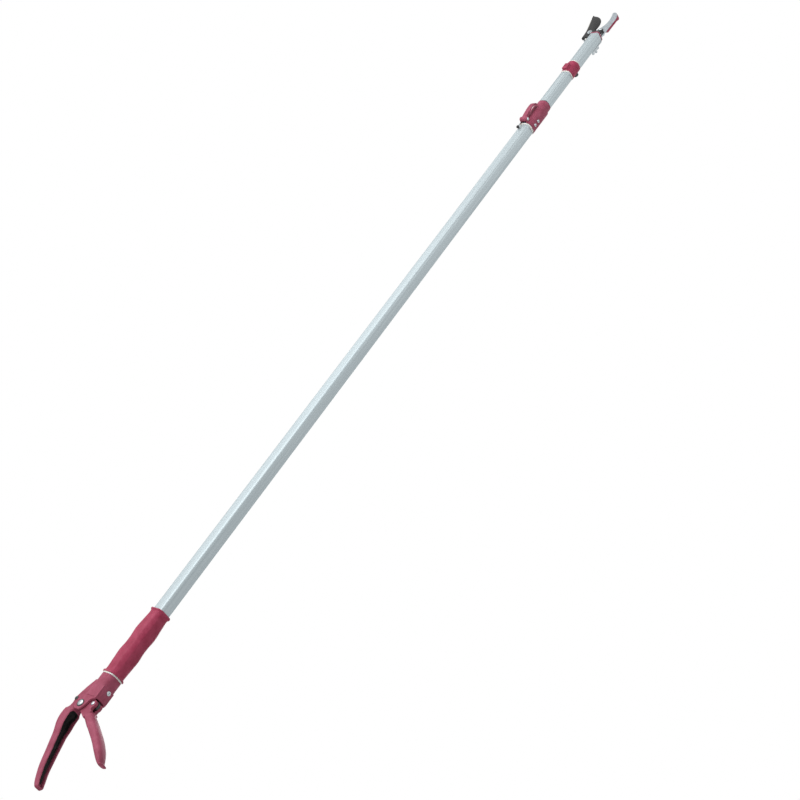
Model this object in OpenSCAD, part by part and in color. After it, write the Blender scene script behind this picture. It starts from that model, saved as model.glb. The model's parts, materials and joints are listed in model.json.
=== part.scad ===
// Long-reach cut-and-hold pruner on a telescoping pole.
// Z runs up the pole to the head, -Y is the front of the head, +X is the blade side, -X the hook side.
// The origin is on the pole's axis, at the middle of the hand sleeve.

/* [Pole] */
// Width of the outer tube across its flats
outer_w = 23; // [21:0.5:26]
// Wall of the outer tube
outer_wall = 0.8; // [0.7:0.1:1.2]
// Corner radius of the outer tube
outer_r = 5; // [4:0.5:6]
// Length of outer tube that shows between the sleeve and the clamp
tube_show = 1208; // [900:1:1400]
// Gap on each side between the outer tube and the inner tube
slide_gap = 0.3; // [0.25:0.05:0.5]
// Wall of the inner tube
inner_wall = 1.2; // [0.9:0.1:1.5]
// Length of inner tube that shows between the clamp and the stop collar
neck_show = 96; // [40:1:150]
// Length of inner tube that shows between the stop collar and its end
head_show = 96; // [70:1:140]
// Length of inner tube below the mouth of the outer tube
inner_hidden = 1150; // [800:1:1200]

/* [Hand sleeve and housing] */
// Length of the hand sleeve
sleeve_len = 125; // [100:1:160]
// Radius of the hand sleeve at its swells
sleeve_r = 17.3; // [16.5:0.1:20]
// Thickness of the nylon ring under the sleeve
ring_h = 2.5; // [1:0.5:5]
// Length of the housing's socket
socket_len = 42; // [36:1:60]
// Wall of the housing's socket round the pole
socket_wall = 3; // [2:0.5:5]
// Thickness of the housing's floor
floor_t = 6; // [4:0.5:9]
// Thickness of each cheek that carries the lever's pin
cheek_t = 4; // [3:0.5:6]

/* [Lever and grip] */
// Distance of the lever's pin from the pole's axis
lever_x = 9; // [8.5:0.5:12]
// Depth of the lever's pin below the housing
lever_drop = 16; // [14:0.5:20]
// Arm from the lever's pin to the link pin
link_arm = 21.4; // [20:0.1:22.4]
// Angle of the link pin round the lever's pin
link_angle = 160; // [150:1:170]
// Width of the lever
lever_w = 17; // [15:0.5:20]
// Width of the lever's face below the hub
lever_face_w = 22; // [18:0.5:24]
// Wall of the lever's channel
lever_wall = 2.6; // [2:0.1:4]
// Radius of the lever's pin
lever_pin_r = 3; // [2.5:0.1:3.5]
// Radius of the link pin
link_pin_r = 2; // [1.5:0.1:2.5]
// Wall of the fixed grip's channel
grip_wall = 2.4; // [2:0.1:4]
// Thickness of the grip's liner
liner_t = 1.6; // [1.2:0.1:3]

/* [Clamp and collar] */
// Height of the clamp
clamp_h = 72; // [66:1:100]
// Wall of the clamp's body
clamp_wall = 3.6; // [3:0.1:6]
// Radius of the flip lever's pin
clamp_pin_r = 2; // [1.5:0.1:2.5]
// Height of the stop collar
collar_h = 31; // [28:1:50]
// Wall of the stop collar
collar_wall = 2.5; // [2:0.1:4]

/* [Pull rods] */
// Radius of the upper rod
rod_r = 3; // [2.5:0.1:3.2]
// Gap between the upper rod and the rod tube round it
rod_gap = 0.25; // [0.2:0.05:0.5]
// Wall of the lower rod's tube
rod_wall = 1.25; // [1:0.05:2]
// Thickness of the rods' flat eyes
eye_t = 2.5; // [2:0.1:3.2]
// Wire of the return spring
return_wire = 1.4; // [1:0.1:1.8]
// Curls of the return spring
return_curls = 9; // [6:1:12]

/* [Head] */
// Thickness of the hook plate
plate_t = 2.5; // [2:0.1:3.5]
// Thickness of the blade
blade_t = 2.7; // [2:0.1:3.5]
// Gap between sheets that slide over each other
sheet_gap = 0.3; // [0.2:0.05:0.5]
// Distance of the blade's pivot from the pole's axis
pivot_x = 25; // [23:0.5:28]
// Height of the blade's pivot above the tube's end
pivot_z = 17.2; // [15:0.2:20]
// Radius of the blade's pivot bolt
pivot_r = 3; // [2.5:0.1:3.5]
// Radius of the tail bolt
tail_r = 2; // [1.5:0.1:2.5]
// Angle that the blade turns when it closes
close_angle = 36; // [30:1:37]
// Thickness of the pad on the hook
pad_t = 8; // [6:0.5:11]
// Sheet thickness of the holding plate
hold_t = 1.5; // [1:0.1:2]
// Spacing of the holding plate's two flanges
hold_gap = 5.9; // [5.5:0.1:7]
// Waves along the holding plate's edge
hold_teeth = 13; // [8:1:18]
// Wire of the holding plate's spring
coil_wire = 1.3; // [1:0.1:1.4]
// Curls of the holding plate's spring
coil_curls = 3; // [2:1:3]

/* [Saw bracket] */
// Width of the bracket
bracket_w = 17.5; // [14:0.5:19]
// Length of the bracket
bracket_len = 37; // [34:1:50]
// Thickness of the bracket
bracket_t = 1.5; // [1:0.1:2.5]
// Radius of the saw stud and the upper bolt
stud_r = 3; // [2.5:0.1:3]
// Length of thread left free in front of the wing nut
stud_free = 6; // [4:0.5:12]

/* [Hidden] */
$fn = 48;
bore_play = 0.05;
seat_play = 0.1;
run_gap = 0.5;

// The pole
outer_in = outer_w - 2 * outer_wall;
outer_in_r = outer_r - outer_wall;
inner_w = outer_in - 2 * slide_gap;
inner_r = 4;
inner_in = inner_w - 2 * inner_wall;
inner_in_r = inner_r - inner_wall;
sleeve_top = sleeve_len / 2;
ring_z = -sleeve_top - ring_h;
socket_z = ring_z - socket_len;
outer_low = socket_z + floor_t;
clamp_z = sleeve_top + tube_show;
outer_top = clamp_z + 46;
clamp_top = clamp_z + clamp_h;
collar_z = clamp_top + neck_show;
head_z = collar_z + collar_h + head_show;
inner_low = outer_top - inner_hidden;

// The lever, its pin and the link pin
lever_z = socket_z - lever_drop;
link_x = lever_x + link_arm * cos(link_angle);
link_z = lever_z + link_arm * sin(link_angle);
cheek_y = lever_w / 2 + run_gap;
hub_r = 8.5;
spacer_r = 4.8;
eye_gap = 0.6;
lever_slot = eye_t + 2 * eye_gap;

// Centre line of the lever from its pin: across, up, half thickness
lever_line = [[0, 0, 8], [-23.6, -11, 8], [-49, -25.8, 8.3], [-76, -41.8, 8],
    [-95, -55.4, 7.2], [-108.6, -67, 5.2], [-116.5, -73.2, 2.8], [-122.5, -72.6, 2]];
// Centre line of the fixed grip: from the pole's axis, up from the lever's pin, half depth
grip_line = [[24.5, 9, 6], [27, -12, 8.6], [26.4, -29, 9], [21.4, -46, 7.6], [15.8, -63, 7.4], [7.5, -86, 7],
    [-1.5, -110, 6.3], [-12, -129, 5.4], [-19, -139, 4]];
// Half width of the fixed grip at heights from the lever's pin
grip_widths = [[14, 8.6], [-11, 8.6], [-19, 12], [-36, 12], [-62, 10], [-90, 9], [-128, 8], [-136, 7],
    [-140.5, 5], [-143, 2.4]];

// The rods
tube_rod_in = rod_r + rod_gap;
tube_rod_r = tube_rod_in + rod_wall;
stub_r = 3.5;
neck_half = 3.2;
rod_tube_z = ring_z + 10;
rod_top = outer_top - 107;
rod_low = inner_low - 10;
lock_h = 14;
eye_low_t = 4;
collar_low_z = ring_z + 24;
seat_top = outer_low + 6;
neck_top = seat_top + 4;
return_r = 6.8;

// Depths at the head, measured to the front from the pole's axis
blade_h = eye_t / 2 + sheet_gap;
plate_h = blade_h + blade_t + sheet_gap;
plate_front = plate_h + plate_t;
dome_h = 2.2;
hold_rear_h = plate_h + 0.1;
hold_front_h = hold_rear_h + hold_gap;
hold_front = hold_front_h + hold_t;
washer_t = 1;
screw_head_h = 3;
inner_face = inner_w / 2;
bracket_front = inner_face + bracket_t;

// The blade's pivot and tail
tail_arm = pivot_x;
tail_angle = 168;
tail_x = pivot_x + tail_arm * cos(tail_angle);
tail_z = pivot_z + tail_arm * sin(tail_angle);
tail_reach = pivot_x + tail_arm * cos(tail_angle + close_angle);
tail_pad_r = 5;
tail_half = 4.3;
slot_half = 3.3;
boss_r = 11;
nut_r = 4.04;
nut_h = 5;
stop_x = pivot_x + 11;
stop_z = pivot_z - 12.9;
stop_r = 1.9;
coil_x = pivot_x - 4;
coil_z = pivot_z - 21.5;
coil_r = 4.1;
coil_post_r = 2.6;
coil_pitch = coil_wire + 0.6;
coil_h0 = plate_front + coil_wire / 2 + 0.4;
coil_end = coil_h0 + coil_pitch * coil_curls + coil_wire / 2;
tab_r = 6.6;
tab_step = max(hold_t, coil_end + 0.3 - hold_front_h);

// The bracket's holes, from the tube's end
bolt_z = -7.5;
stud_z = -19.5;
bolt_head_r = 4.6;
wing_hub_r = 5.3;
wing_hub_h = 6;
wing_span = 26;
stud_washer_r = 6.2;
wing_z0 = bracket_front + washer_t;
wing_front = wing_z0 + wing_hub_h;
stud_tip_r = stud_r - 0.4;
stud_end = wing_front + stud_free;

maroon = "#8c2d44";
silver = "#c6ced2";
zinc = "#b9c2c6";
steel = "#a3a398";
black = "#1d1f22";
nylon = "#f2f2ee";

// Curves through hand-chosen points

function curve_at(p, i, u) =
    let (a = p[max(i - 1, 0)], b = p[i], c = p[i + 1], d = p[min(i + 2, len(p) - 1)])
    0.5 * (2 * b + (c - a) * u + (2 * a - 5 * b + 4 * c - d) * u * u + (3 * b - a - 3 * c + d) * u * u * u);
function curve(p, steps) =
    concat([for (i = [0 : len(p) - 2]) for (j = [0 : steps - 1]) curve_at(p, i, j / steps)],
        [p[len(p) - 1]]);
function reverse(p) = [for (i = [len(p) - 1 : -1 : 0]) p[i]];
function side_of(c, i) =
    let (a = c[max(i - 1, 0)], b = c[min(i + 1, len(c) - 1)], d = [b[0] - a[0], b[1] - a[1]])
    [-d[1], d[0]] / norm(d);
function edge(c, share, more) =
    [for (i = [0 : len(c) - 1]) [c[i][0], c[i][1]] + side_of(c, i) * (share * c[i][2] + more)];
function band(c, share_a, more_a, share_b, more_b) =
    concat(edge(c, share_a, more_a), reverse(edge(c, share_b, more_b)));
function moved(p, x, y) = [for (q = p) [q[0] + x, q[1] + y, q[2]]];

// A tube swept along points, its rings kept from twisting
function along(p, i) = let (d = p[min(i + 1, len(p) - 1)] - p[max(i - 1, 0)]) d / norm(d);
function square_to(v, t) = let (w = v - (v * t) * t) w / norm(w);
function ring_sides(p, start) =
    [for (i = 0, s = square_to(start, along(p, 0)); i < len(p);
        i = i + 1, s = i < len(p) ? square_to(s, along(p, i)) : s) s];
module swept(p, r, sides, start) {
    s = ring_sides(p, start);
    n = len(p);
    points = [for (i = [0 : n - 1]) for (k = [0 : sides - 1])
        p[i] + r * (cos(360 * k / sides) * s[i] + sin(360 * k / sides) * cross(along(p, i), s[i]))];
    walls = [for (i = [0 : n - 2]) for (k = [0 : sides - 1])
        let (a = i * sides + k, b = i * sides + (k + 1) % sides)
        each [[a, a + sides, b], [b, a + sides, b + sides]]];
    caps = [for (k = [1 : sides - 2]) each [[0, k, k + 1],
        [(n - 1) * sides, (n - 1) * sides + k + 1, (n - 1) * sides + k]]];
    polyhedron(points, concat(walls, caps), convexity = 6);
}
function least_gap(p, apart, wire) =
    min([for (i = [0 : len(p) - 1]) for (j = [i + apart : 1 : len(p) - 1]) norm(p[i] - p[j])]) - wire;

// Shapes that repeat

module round_square(w, r) {
    square([w, w - 2 * r], center = true);
    square([w - 2 * r, w], center = true);
    for (x = [-1, 1]) for (y = [-1, 1]) translate([x, y] * (w / 2 - r)) circle(r);
}
module square_pipe(w, r, inner, inner_corner, z0, z1) {
    translate([0, 0, z0]) linear_extrude(z1 - z0) difference() {
        round_square(w, r);
        round_square(inner, inner_corner);
    }
}
// An outline in X and Z, given a thickness along Y about the pole's axis
module across(w) {
    rotate([90, 0, 0]) linear_extrude(w, center = true) children();
}
// An outline at the head, from depth h0 to the front by t
module sheet(h0, t) {
    translate([0, -h0, head_z]) rotate([90, 0, 0]) linear_extrude(t) children();
}
// A pin along Y at the head, between two depths
module head_pin(x, z, r, h0, h1) {
    translate([x, -h0, head_z + z]) rotate([90, 0, 0]) cylinder(r = r, h = h1 - h0);
}
// A pin along Y, between two places on Y
module cross_pin(x, z, r, y0, y1) {
    translate([x, y1, z]) rotate([90, 0, 0]) cylinder(r = r, h = y1 - y0);
}
module hex_at_head(x, z, r, h0, h1) {
    translate([x, -h0, head_z + z]) rotate([90, 0, 0]) cylinder(r = r, h = h1 - h0, $fn = 6);
}
// A pin along X, between two places on X
module side_pin(y, z, r, x0, x1) {
    translate([x0, y, z]) rotate([0, 90, 0]) cylinder(r = r, h = x1 - x0);
}
// A dished screw head that stands to the front at the head
module head_dome(x, z, r, h, h0) {
    translate([x, -h0, head_z + z]) rotate([90, 0, 0]) rotate_extrude() intersection() {
        square([r, h]);
        translate([0, h - dome_ball(r, h)]) circle(dome_ball(r, h));
    }
}
function dome_ball(r, h) = (r * r + h * h * 0.49) / (1.4 * h);

// Handle end

module outer_tube() {
    color(silver) difference() {
        square_pipe(outer_w, outer_r, outer_in, outer_in_r, outer_low, outer_top);
        shoe_window(0.3);
    }
}

sleeve_swells = [[0, 1.2], [0.03, 1.2], [0.07, -0.9], [0.2, 0], [0.36, -0.7], [0.5, 0.2], [0.64, -0.7],
    [0.8, -0.4], [0.93, -1.6], [0.97, 0.2], [1, 0.2]];

module sleeve_grip() {
    outline = curve([for (s = sleeve_swells) [sleeve_r + s[1], (s[0] - 0.5) * sleeve_len]], 5);
    color(maroon) difference() {
        rotate_extrude() polygon(concat([[0, -sleeve_top]], outline, [[0, sleeve_top]]));
        translate([0, 0, -sleeve_len]) linear_extrude(2 * sleeve_len)
            round_square(outer_w + 2 * seat_play, outer_r + seat_play);
    }
}

socket_w = outer_w + 2 * socket_wall;
module nylon_ring() {
    color(nylon) square_pipe(socket_w + 1, 10, outer_w + 2 * seat_play, outer_r + seat_play,
        ring_z, -sleeve_top);
}

cheek_half = cheek_y + cheek_t;
cheek_outline = [[24, 4], [27.5, -8], [26, -22], [14, -27], [4, -26], [-2, -18], [-5, -6], [-12.5, -2],
    [-12.5, 4]];
flare_outline = [[-13.5, 22], [13.5, 28], [21, 12], [25, 0], [-13.5, 0]];

module handle_housing() {
    color(maroon) difference() {
        union() {
            translate([0, 0, socket_z]) linear_extrude(socket_len) round_square(socket_w, 9);
            translate([0, 0, socket_z]) across(2 * cheek_half) polygon(flare_outline);
            for (y = [-1, 1]) translate([0, y * (cheek_y + cheek_t / 2), socket_z])
                across(cheek_t) polygon(cheek_outline);
        }
        translate([0, 0, outer_low]) linear_extrude(socket_len)
            round_square(outer_w + 2 * seat_play, outer_r + seat_play);
        translate([0, 0, socket_z - 1]) cylinder(r = stub_r + run_gap, h = floor_t + 2);
        cross_pin(lever_x, lever_z, lever_pin_r + bore_play, -cheek_half - 1, cheek_half + 1);
        cross_pin(rivet_x, rivet_z, rivet_r + bore_play, -cheek_half - 1, cheek_half + 1);
        side_pin(screw_y, screw_z, screw_r + bore_play, -socket_w, -outer_w / 2);
    }
}

rivet_x = 24.5;
rivet_r = 2;
rivet_z = lever_z + 5;
screw_z = socket_z + 17.5;
screw_y = -2;
screw_r = 1.6;
screw_head_r = 3.2;
screw_head_t = 1.6;
housing_head_r = 3.8;

module housing_screw() {
    color(zinc) {
        side_pin(screw_y, screw_z, screw_r, -socket_w / 2, -outer_w / 2 - seat_play);
        side_pin(screw_y, screw_z, housing_head_r, -socket_w / 2 - screw_head_t, -socket_w / 2);
    }
}

module grip_rivet() {
    color(black) {
        cross_pin(rivet_x, rivet_z, rivet_r, -cheek_half, cheek_half);
        for (y = [-1, 1]) cross_pin(rivet_x, rivet_z, rivet_r * 1.7,
            y > 0 ? cheek_half : -cheek_half - 1.2, y > 0 ? cheek_half + 1.2 : -cheek_half);
    }
}

grip_curve = moved(curve(grip_line, 5), 0, lever_z);
grip_end = grip_curve[len(grip_curve) - 1];
channel_top = -14;
// Outline of the grip in Y and Z below a height from the lever's pin, drawn in by a wall
function grip_outline(top, wall) = let (half = [for (w = grip_widths) if (w[0] <= top && w[1] > wall)
        [w[1] - wall, lever_z + w[0] + wall]])
    concat(half, [for (p = reverse(half)) [-p[0], p[1]]]);

// An outline in Y and Z, swept right through along X
module through(reach) {
    rotate([90, 0, 90]) linear_extrude(reach, center = true) children();
}

module fixed_grip() {
    color(maroon) difference() {
        intersection() {
            union() {
                across(40) polygon(band(grip_curve, 1, 0, -1, 0));
                cross_pin(grip_end[0], grip_end[1], grip_end[2], -20, 20);
            }
            through(200) polygon(grip_outline(grip_widths[0][0], 0));
        }
        intersection() {
            across(40) polygon(band(grip_curve, 1, -grip_wall, -1, -4));
            through(200) polygon(grip_outline(channel_top, grip_wall));
        }
        cross_pin(rivet_x, rivet_z, rivet_r + bore_play, -20, 20);
    }
}

liner_low = 0.8;
liner_top = lever_z - 19 + grip_wall - seat_play;
module grip_liner() {
    color(black) difference() {
        intersection() {
            across(40) polygon(band(grip_curve, 1, -grip_wall - seat_play, -1, liner_low));
            through(200) intersection() {
                polygon(grip_outline(channel_top, grip_wall + seat_play));
                translate([-20, liner_top - 200]) square([40, 200]);
            }
        }
        intersection() {
            across(40) polygon(band(grip_curve, 1, -grip_wall - seat_play - liner_t, -1, -4));
            through(200) polygon(grip_outline(channel_top + 1, grip_wall + seat_play + liner_t));
        }
    }
}

module lever_pivot_pin() {
    color(zinc) {
        cross_pin(lever_x, lever_z, lever_pin_r, -cheek_half - nut_t, cheek_half);
        cross_pin(lever_x, lever_z, lever_pin_r * 1.7, cheek_half, cheek_half + 2);
    }
}
nut_t = 3.5;
module lever_pivot_nut() {
    color(zinc) difference() {
        translate([lever_x, -cheek_half, lever_z]) rotate([90, 0, 0])
            cylinder(r = lever_pin_r * 1.85, h = nut_t, $fn = 6);
        cross_pin(lever_x, lever_z, lever_pin_r + bore_play, -cheek_half - nut_t - 1, cheek_half);
    }
}

module spring_seat() {
    color(black) translate([0, 0, outer_low]) linear_extrude(seat_top - outer_low) difference() {
        round_square(outer_in - 2 * seat_play, outer_in_r - seat_play);
        circle(stub_r + run_gap);
    }
}

return_low = seat_top + return_wire / 2 + 0.15;
return_high = collar_low_z - return_wire / 2 - 0.15;
return_steps = return_curls * 8;
return_line = [for (i = [0 : return_steps]) let (a = 45 * i)
    [return_r * cos(a), return_r * sin(a), return_low + (return_high - return_low) * i / return_steps]];
echo(return_spring_gap = least_gap(return_line, 6, return_wire));

module return_spring() {
    color(steel) swept(return_line, return_wire / 2, 6, [1, 0, 0]);
}

// Lever

lever_curve = moved(curve(lever_line, 4), lever_x, lever_z);

module trigger_lever() {
    color(maroon) difference() {
        union() {
            across(lever_w) polygon(band(lever_curve, 1, 0, -1, 0));
            across(lever_face_w) polygon(band([for (i = [5 : len(lever_curve) - 1]) lever_curve[i]],
                1, 0, -1, 0));
            cross_pin(lever_x, lever_z, hub_r, -lever_w / 2, lever_w / 2);
            cross_pin(link_x, link_z, link_pin_r + 4.4, -lever_w / 2, lever_w / 2);
            across(lever_w) polygon([[lever_x, lever_z + hub_r - 0.1], [link_x, link_z + link_pin_r + 4.3],
                [link_x - 4, link_z - 4], [lever_curve[4][0], lever_curve[4][1]],
                [lever_x, lever_z - hub_r + 0.1]]);
        }
        difference() {
            cross_pin(lever_x, lever_z, link_arm + 8.5, -lever_slot / 2 - 0.8, lever_slot / 2 + 0.8);
            cross_pin(lever_x, lever_z, spacer_r, -lever_w, lever_w);
        }
        across(lever_face_w - 2 * lever_wall)
            polygon(band([for (i = [6 : len(lever_curve) - 6]) lever_curve[i]], 1, 4, -1, lever_wall));
        cross_pin(lever_x, lever_z, lever_pin_r + bore_play, -lever_w, lever_w);
        cross_pin(link_x, link_z, link_pin_r + bore_play, -lever_w, lever_w);
    }
}

module link_pin() {
    color(zinc) {
        cross_pin(link_x, link_z, link_pin_r, -lever_w / 2, lever_w / 2);
        for (y = [0, 1]) cross_pin(link_x, link_z, link_pin_r * 1.8,
            y > 0 ? lever_w / 2 : -lever_w / 2 - 1.4, y > 0 ? lever_w / 2 + 1.4 : -lever_w / 2);
    }
}

// Pull rods

module lower_rod() {
    color(black) difference() {
        union() {
            translate([0, 0, rod_tube_z]) cylinder(r = tube_rod_r, h = rod_top - rod_tube_z);
            translate([0, 0, neck_top]) cylinder(r = stub_r, h = rod_tube_z - neck_top + 1);
            across(eye_low_t) {
                translate([link_x, link_z]) circle(link_pin_r + 4.6);
                polygon([[link_x - link_pin_r - 4.4, link_z], [link_x - 2, socket_z - 1.4],
                    [neck_half, socket_z - 1.4], [neck_half, link_z - 3],
                    [link_x, link_z - link_pin_r - 4.4]]);
                translate([-neck_half, socket_z - 2]) square([2 * neck_half, neck_top + 1 - socket_z + 2]);
            }
        }
        translate([0, 0, rod_tube_z + 4]) cylinder(r = tube_rod_in, h = rod_top - rod_tube_z);
        across(eye_low_t + 2) {
            translate([link_x, link_z]) square([2.6, 2 * link_pin_r + 1.2], center = true);
            for (x = [-1.3, 1.3]) translate([link_x + x, link_z]) circle(link_pin_r + 0.6);
        }
    }
}

module rod_collar() {
    color(zinc) translate([0, 0, collar_low_z]) difference() {
        cylinder(r = return_r + 1.6, h = 5);
        translate([0, 0, -1]) cylinder(r = tube_rod_r + bore_play, h = 7);
    }
}

module rod_lock() {
    color(zinc) translate([0, 0, rod_top]) difference() {
        cylinder(r = tube_rod_r + 2, h = lock_h);
        translate([0, 0, -1]) cylinder(r = tube_rod_in, h = lock_h + 2);
    }
}

module upper_rod() {
    color(black) difference() {
        union() {
            translate([0, 0, rod_low]) cylinder(r = rod_r, h = head_z + tail_z - 6.5 - rod_low);
            sheet(-eye_t / 2, eye_t) {
                translate([tail_reach / 2, tail_z])
                    square([tail_reach, 2 * tail_pad_r - 0.4], center = true);
                for (x = [0, tail_reach]) translate([x, tail_z]) circle(tail_pad_r - 0.2);
                translate([0, tail_z - 5]) square([2 * rod_r, 8], center = true);
            }
        }
        sheet(-eye_t, 2 * eye_t) {
            translate([tail_reach / 2, tail_z]) square([tail_reach, 2 * tail_r + 1.4], center = true);
            for (x = [0, tail_reach]) translate([x, tail_z]) circle(tail_r + 0.7);
        }
    }
}

// Sliding tube

module inner_tube() {
    color(silver) difference() {
        square_pipe(inner_w, inner_r, inner_in, inner_in_r, inner_low, head_z);
        for (z = [bolt_z, stud_z]) head_pin(0, z, stud_r + bore_play, inner_in / 2 - 1, inner_face + 1);
        for (x = [-1, 1]) for (y = [-1, 1]) translate([x * groove_x, y * inner_face, inner_low - 1])
            cylinder(r = groove_r, h = head_z - inner_low + 2, $fn = 8);
    }
}
groove_x = 5;
groove_r = 0.45;

bush_flange = 4;
module tail_bush() {
    color(nylon) translate([0, 0, inner_low]) difference() {
        union() {
            linear_extrude(12) round_square(inner_in - 2 * seat_play, inner_in_r - seat_play);
            translate([0, 0, -bush_flange]) linear_extrude(bush_flange)
                round_square(outer_in - slide_gap, outer_in_r - slide_gap / 2);
        }
        translate([0, 0, -bush_flange - 1]) cylinder(r = tube_rod_r + run_gap, h = 20);
    }
}

collar_out = inner_w + 2 * collar_wall;
collar_r = 10.8;
collar_screw_z = collar_z + collar_h - 7.5;
collar_screw_r = 2.5;
collar_knob_r = 5.4;
collar_knob_t = 7;
lug_w = 11;
lug_h = 16;
lug_reach = 4.6;
lug_z = collar_z + 1.5;

module stop_collar() {
    color(maroon) difference() {
        union() {
            translate([0, 0, collar_z]) linear_extrude(collar_h) round_square(collar_out, collar_r);
            translate([-lug_w / 2, inner_face + 1, lug_z]) cube([lug_w, collar_wall + lug_reach - 1, lug_h]);
        }
        translate([0, 0, collar_z - 5]) linear_extrude(collar_h + 10)
            round_square(inner_w + 2 * seat_play, inner_r + seat_play);
        cross_pin(0, collar_screw_z, collar_screw_r + bore_play, -collar_out, -inner_face);
    }
}

module collar_screw() {
    color(black) {
        cross_pin(0, collar_screw_z, collar_screw_r, -collar_out / 2 - 1, -inner_face - seat_play);
        cross_pin(0, collar_screw_z, collar_knob_r, -collar_out / 2 - collar_knob_t, -collar_out / 2 - 0.1);
    }
}

collar_ring_h = 2.6;
module collar_rings() {
    color(nylon) for (z = [collar_z - collar_ring_h, collar_z + collar_h])
        square_pipe(collar_out - 1, collar_r - 0.5, inner_w + 2 * seat_play, inner_r + seat_play,
            z, z + collar_ring_h);
}

// Clamp

clamp_w = outer_w + 2 * clamp_wall;
clamp_r = 13;
clamp_step = clamp_h - 14;
clamp_neck = 4.4;
clamp_pin_y = clamp_w / 2 + 3.3;
clamp_pin_z = clamp_z + 6;
clamp_lever_half = 5.1;
ear_t = 3.2;
ear_x = clamp_lever_half + 0.3;
ear_r = clamp_pin_r + 3;
ear_in = 9;
shoe_half = 4.7;
shoe_h = 11;
shoe_gap = 0.3;
cam_r = 4.5;
bush_h = 12;
bush_gap = 0.25;

module shoe_window(play) {
    translate([-shoe_half - play, inner_face - 1, clamp_pin_z - shoe_h / 2 - play])
        cube([2 * (shoe_half + play), clamp_wall + 6, shoe_h + 2 * play]);
}

module mouth_bush() {
    color(nylon) square_pipe(outer_w, outer_r, inner_w + 2 * bush_gap, inner_r + bush_gap,
        outer_top, outer_top + bush_h);
}

clamp_ring_h = 3;
module clamp_ring() {
    color(nylon) square_pipe(clamp_w - 2, clamp_r - 1, outer_w + 2 * seat_play, outer_r + seat_play,
        clamp_z - clamp_ring_h, clamp_z);
}

module clamp_body() {
    color(maroon) difference() {
        union() {
            translate([0, 0, clamp_z]) linear_extrude(clamp_step) round_square(clamp_w, clamp_r);
            translate([0, 0, clamp_z + clamp_step]) linear_extrude(clamp_h - clamp_step)
                round_square(clamp_w - clamp_neck, clamp_r - clamp_neck / 2);
            for (x = [-ear_x - ear_t, ear_x]) {
                side_pin(clamp_pin_y, clamp_pin_z, ear_r, x, x + ear_t);
                translate([x, clamp_pin_y - ear_in, clamp_pin_z - ear_r]) cube([ear_t, ear_in, 2 * ear_r]);
            }
        }
        translate([0, 0, clamp_z - 1]) linear_extrude(outer_top + bush_h - clamp_z + 1)
            round_square(outer_w + 2 * seat_play, outer_r + seat_play);
        translate([0, 0, clamp_z]) linear_extrude(clamp_h + 1)
            round_square(inner_w + 2 * run_gap, inner_r + run_gap);
        translate([-ear_x, outer_w / 2 - 1, clamp_z - 1]) cube([2 * ear_x, clamp_wall + 9, 16]);
        knob_stem(bore_play);
        side_pin(clamp_pin_y, clamp_pin_z, clamp_pin_r + bore_play, -20, 20);
        for (z = clamp_screw_z) side_pin(0, z, screw_r + bore_play, -clamp_w, -outer_w / 2);
    }
}

clamp_screw_z = [clamp_z + 9.6, clamp_z + 21.6];
module clamp_screws() {
    color(zinc) for (z = clamp_screw_z) {
        side_pin(0, z, screw_r, -clamp_w / 2 - 0.5, -outer_w / 2 - seat_play);
        side_pin(0, z, screw_head_r, -clamp_w / 2 - screw_head_t, -clamp_w / 2);
    }
}

pin_head_t = 1.2;
module clamp_pin() {
    color(zinc) {
        side_pin(clamp_pin_y, clamp_pin_z, clamp_pin_r, -ear_x - ear_t, ear_x + ear_t);
        for (x = [-ear_x - ear_t - pin_head_t, ear_x + ear_t])
            side_pin(clamp_pin_y, clamp_pin_z, clamp_pin_r + 1.2, x, x + pin_head_t);
    }
}

knob_x = ear_x + ear_t / 2;
knob_y = clamp_w / 2 - 0.1;
knob_r = 2.8;
knob_h = 5;
knob_drop = 15;
module knob_stem(play) {
    translate([knob_x, knob_y, clamp_z - knob_drop + 1]) cylinder(r = 1.3 + play, h = knob_drop + 2.4);
}
module clamp_knob() {
    color(black) {
        knob_stem(0);
        translate([knob_x, knob_y, clamp_z - knob_drop]) cylinder(r = knob_r, h = knob_h);
    }
}

module clamp_shoe() {
    color(black) intersection() {
        shoe_window(0);
        translate([-20, inner_face + shoe_gap, clamp_z])
            cube([40, clamp_pin_y - cam_r - inner_face - 2 * shoe_gap, 40]);
    }
}

lever_flip = [[-2.4, 0], [-2.4, 5], [0.8, 11], [3.8, 19], [5.3, 28], [4.9, 35], [2, 41], [-0.6, 43.8],
    [0.4, 46], [4.4, 44.4], [7.2, 39.4], [8, 32], [7.6, 22], [5.9, 9], [cam_r - 0.1, 0]];
module clamp_lever() {
    color(maroon) difference() {
        union() {
            side_pin(clamp_pin_y, clamp_pin_z, cam_r, -clamp_lever_half, clamp_lever_half);
            translate([0, clamp_pin_y, clamp_pin_z]) through(2 * clamp_lever_half) polygon(lever_flip);
        }
        side_pin(clamp_pin_y, clamp_pin_z, clamp_pin_r + bore_play, -20, 20);
    }
}

// Head: plug, hook plate and pad

plug_lip = 2.4;
plug_deep = 27;
plug_over = 0.8;
shank_half = 8;

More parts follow.
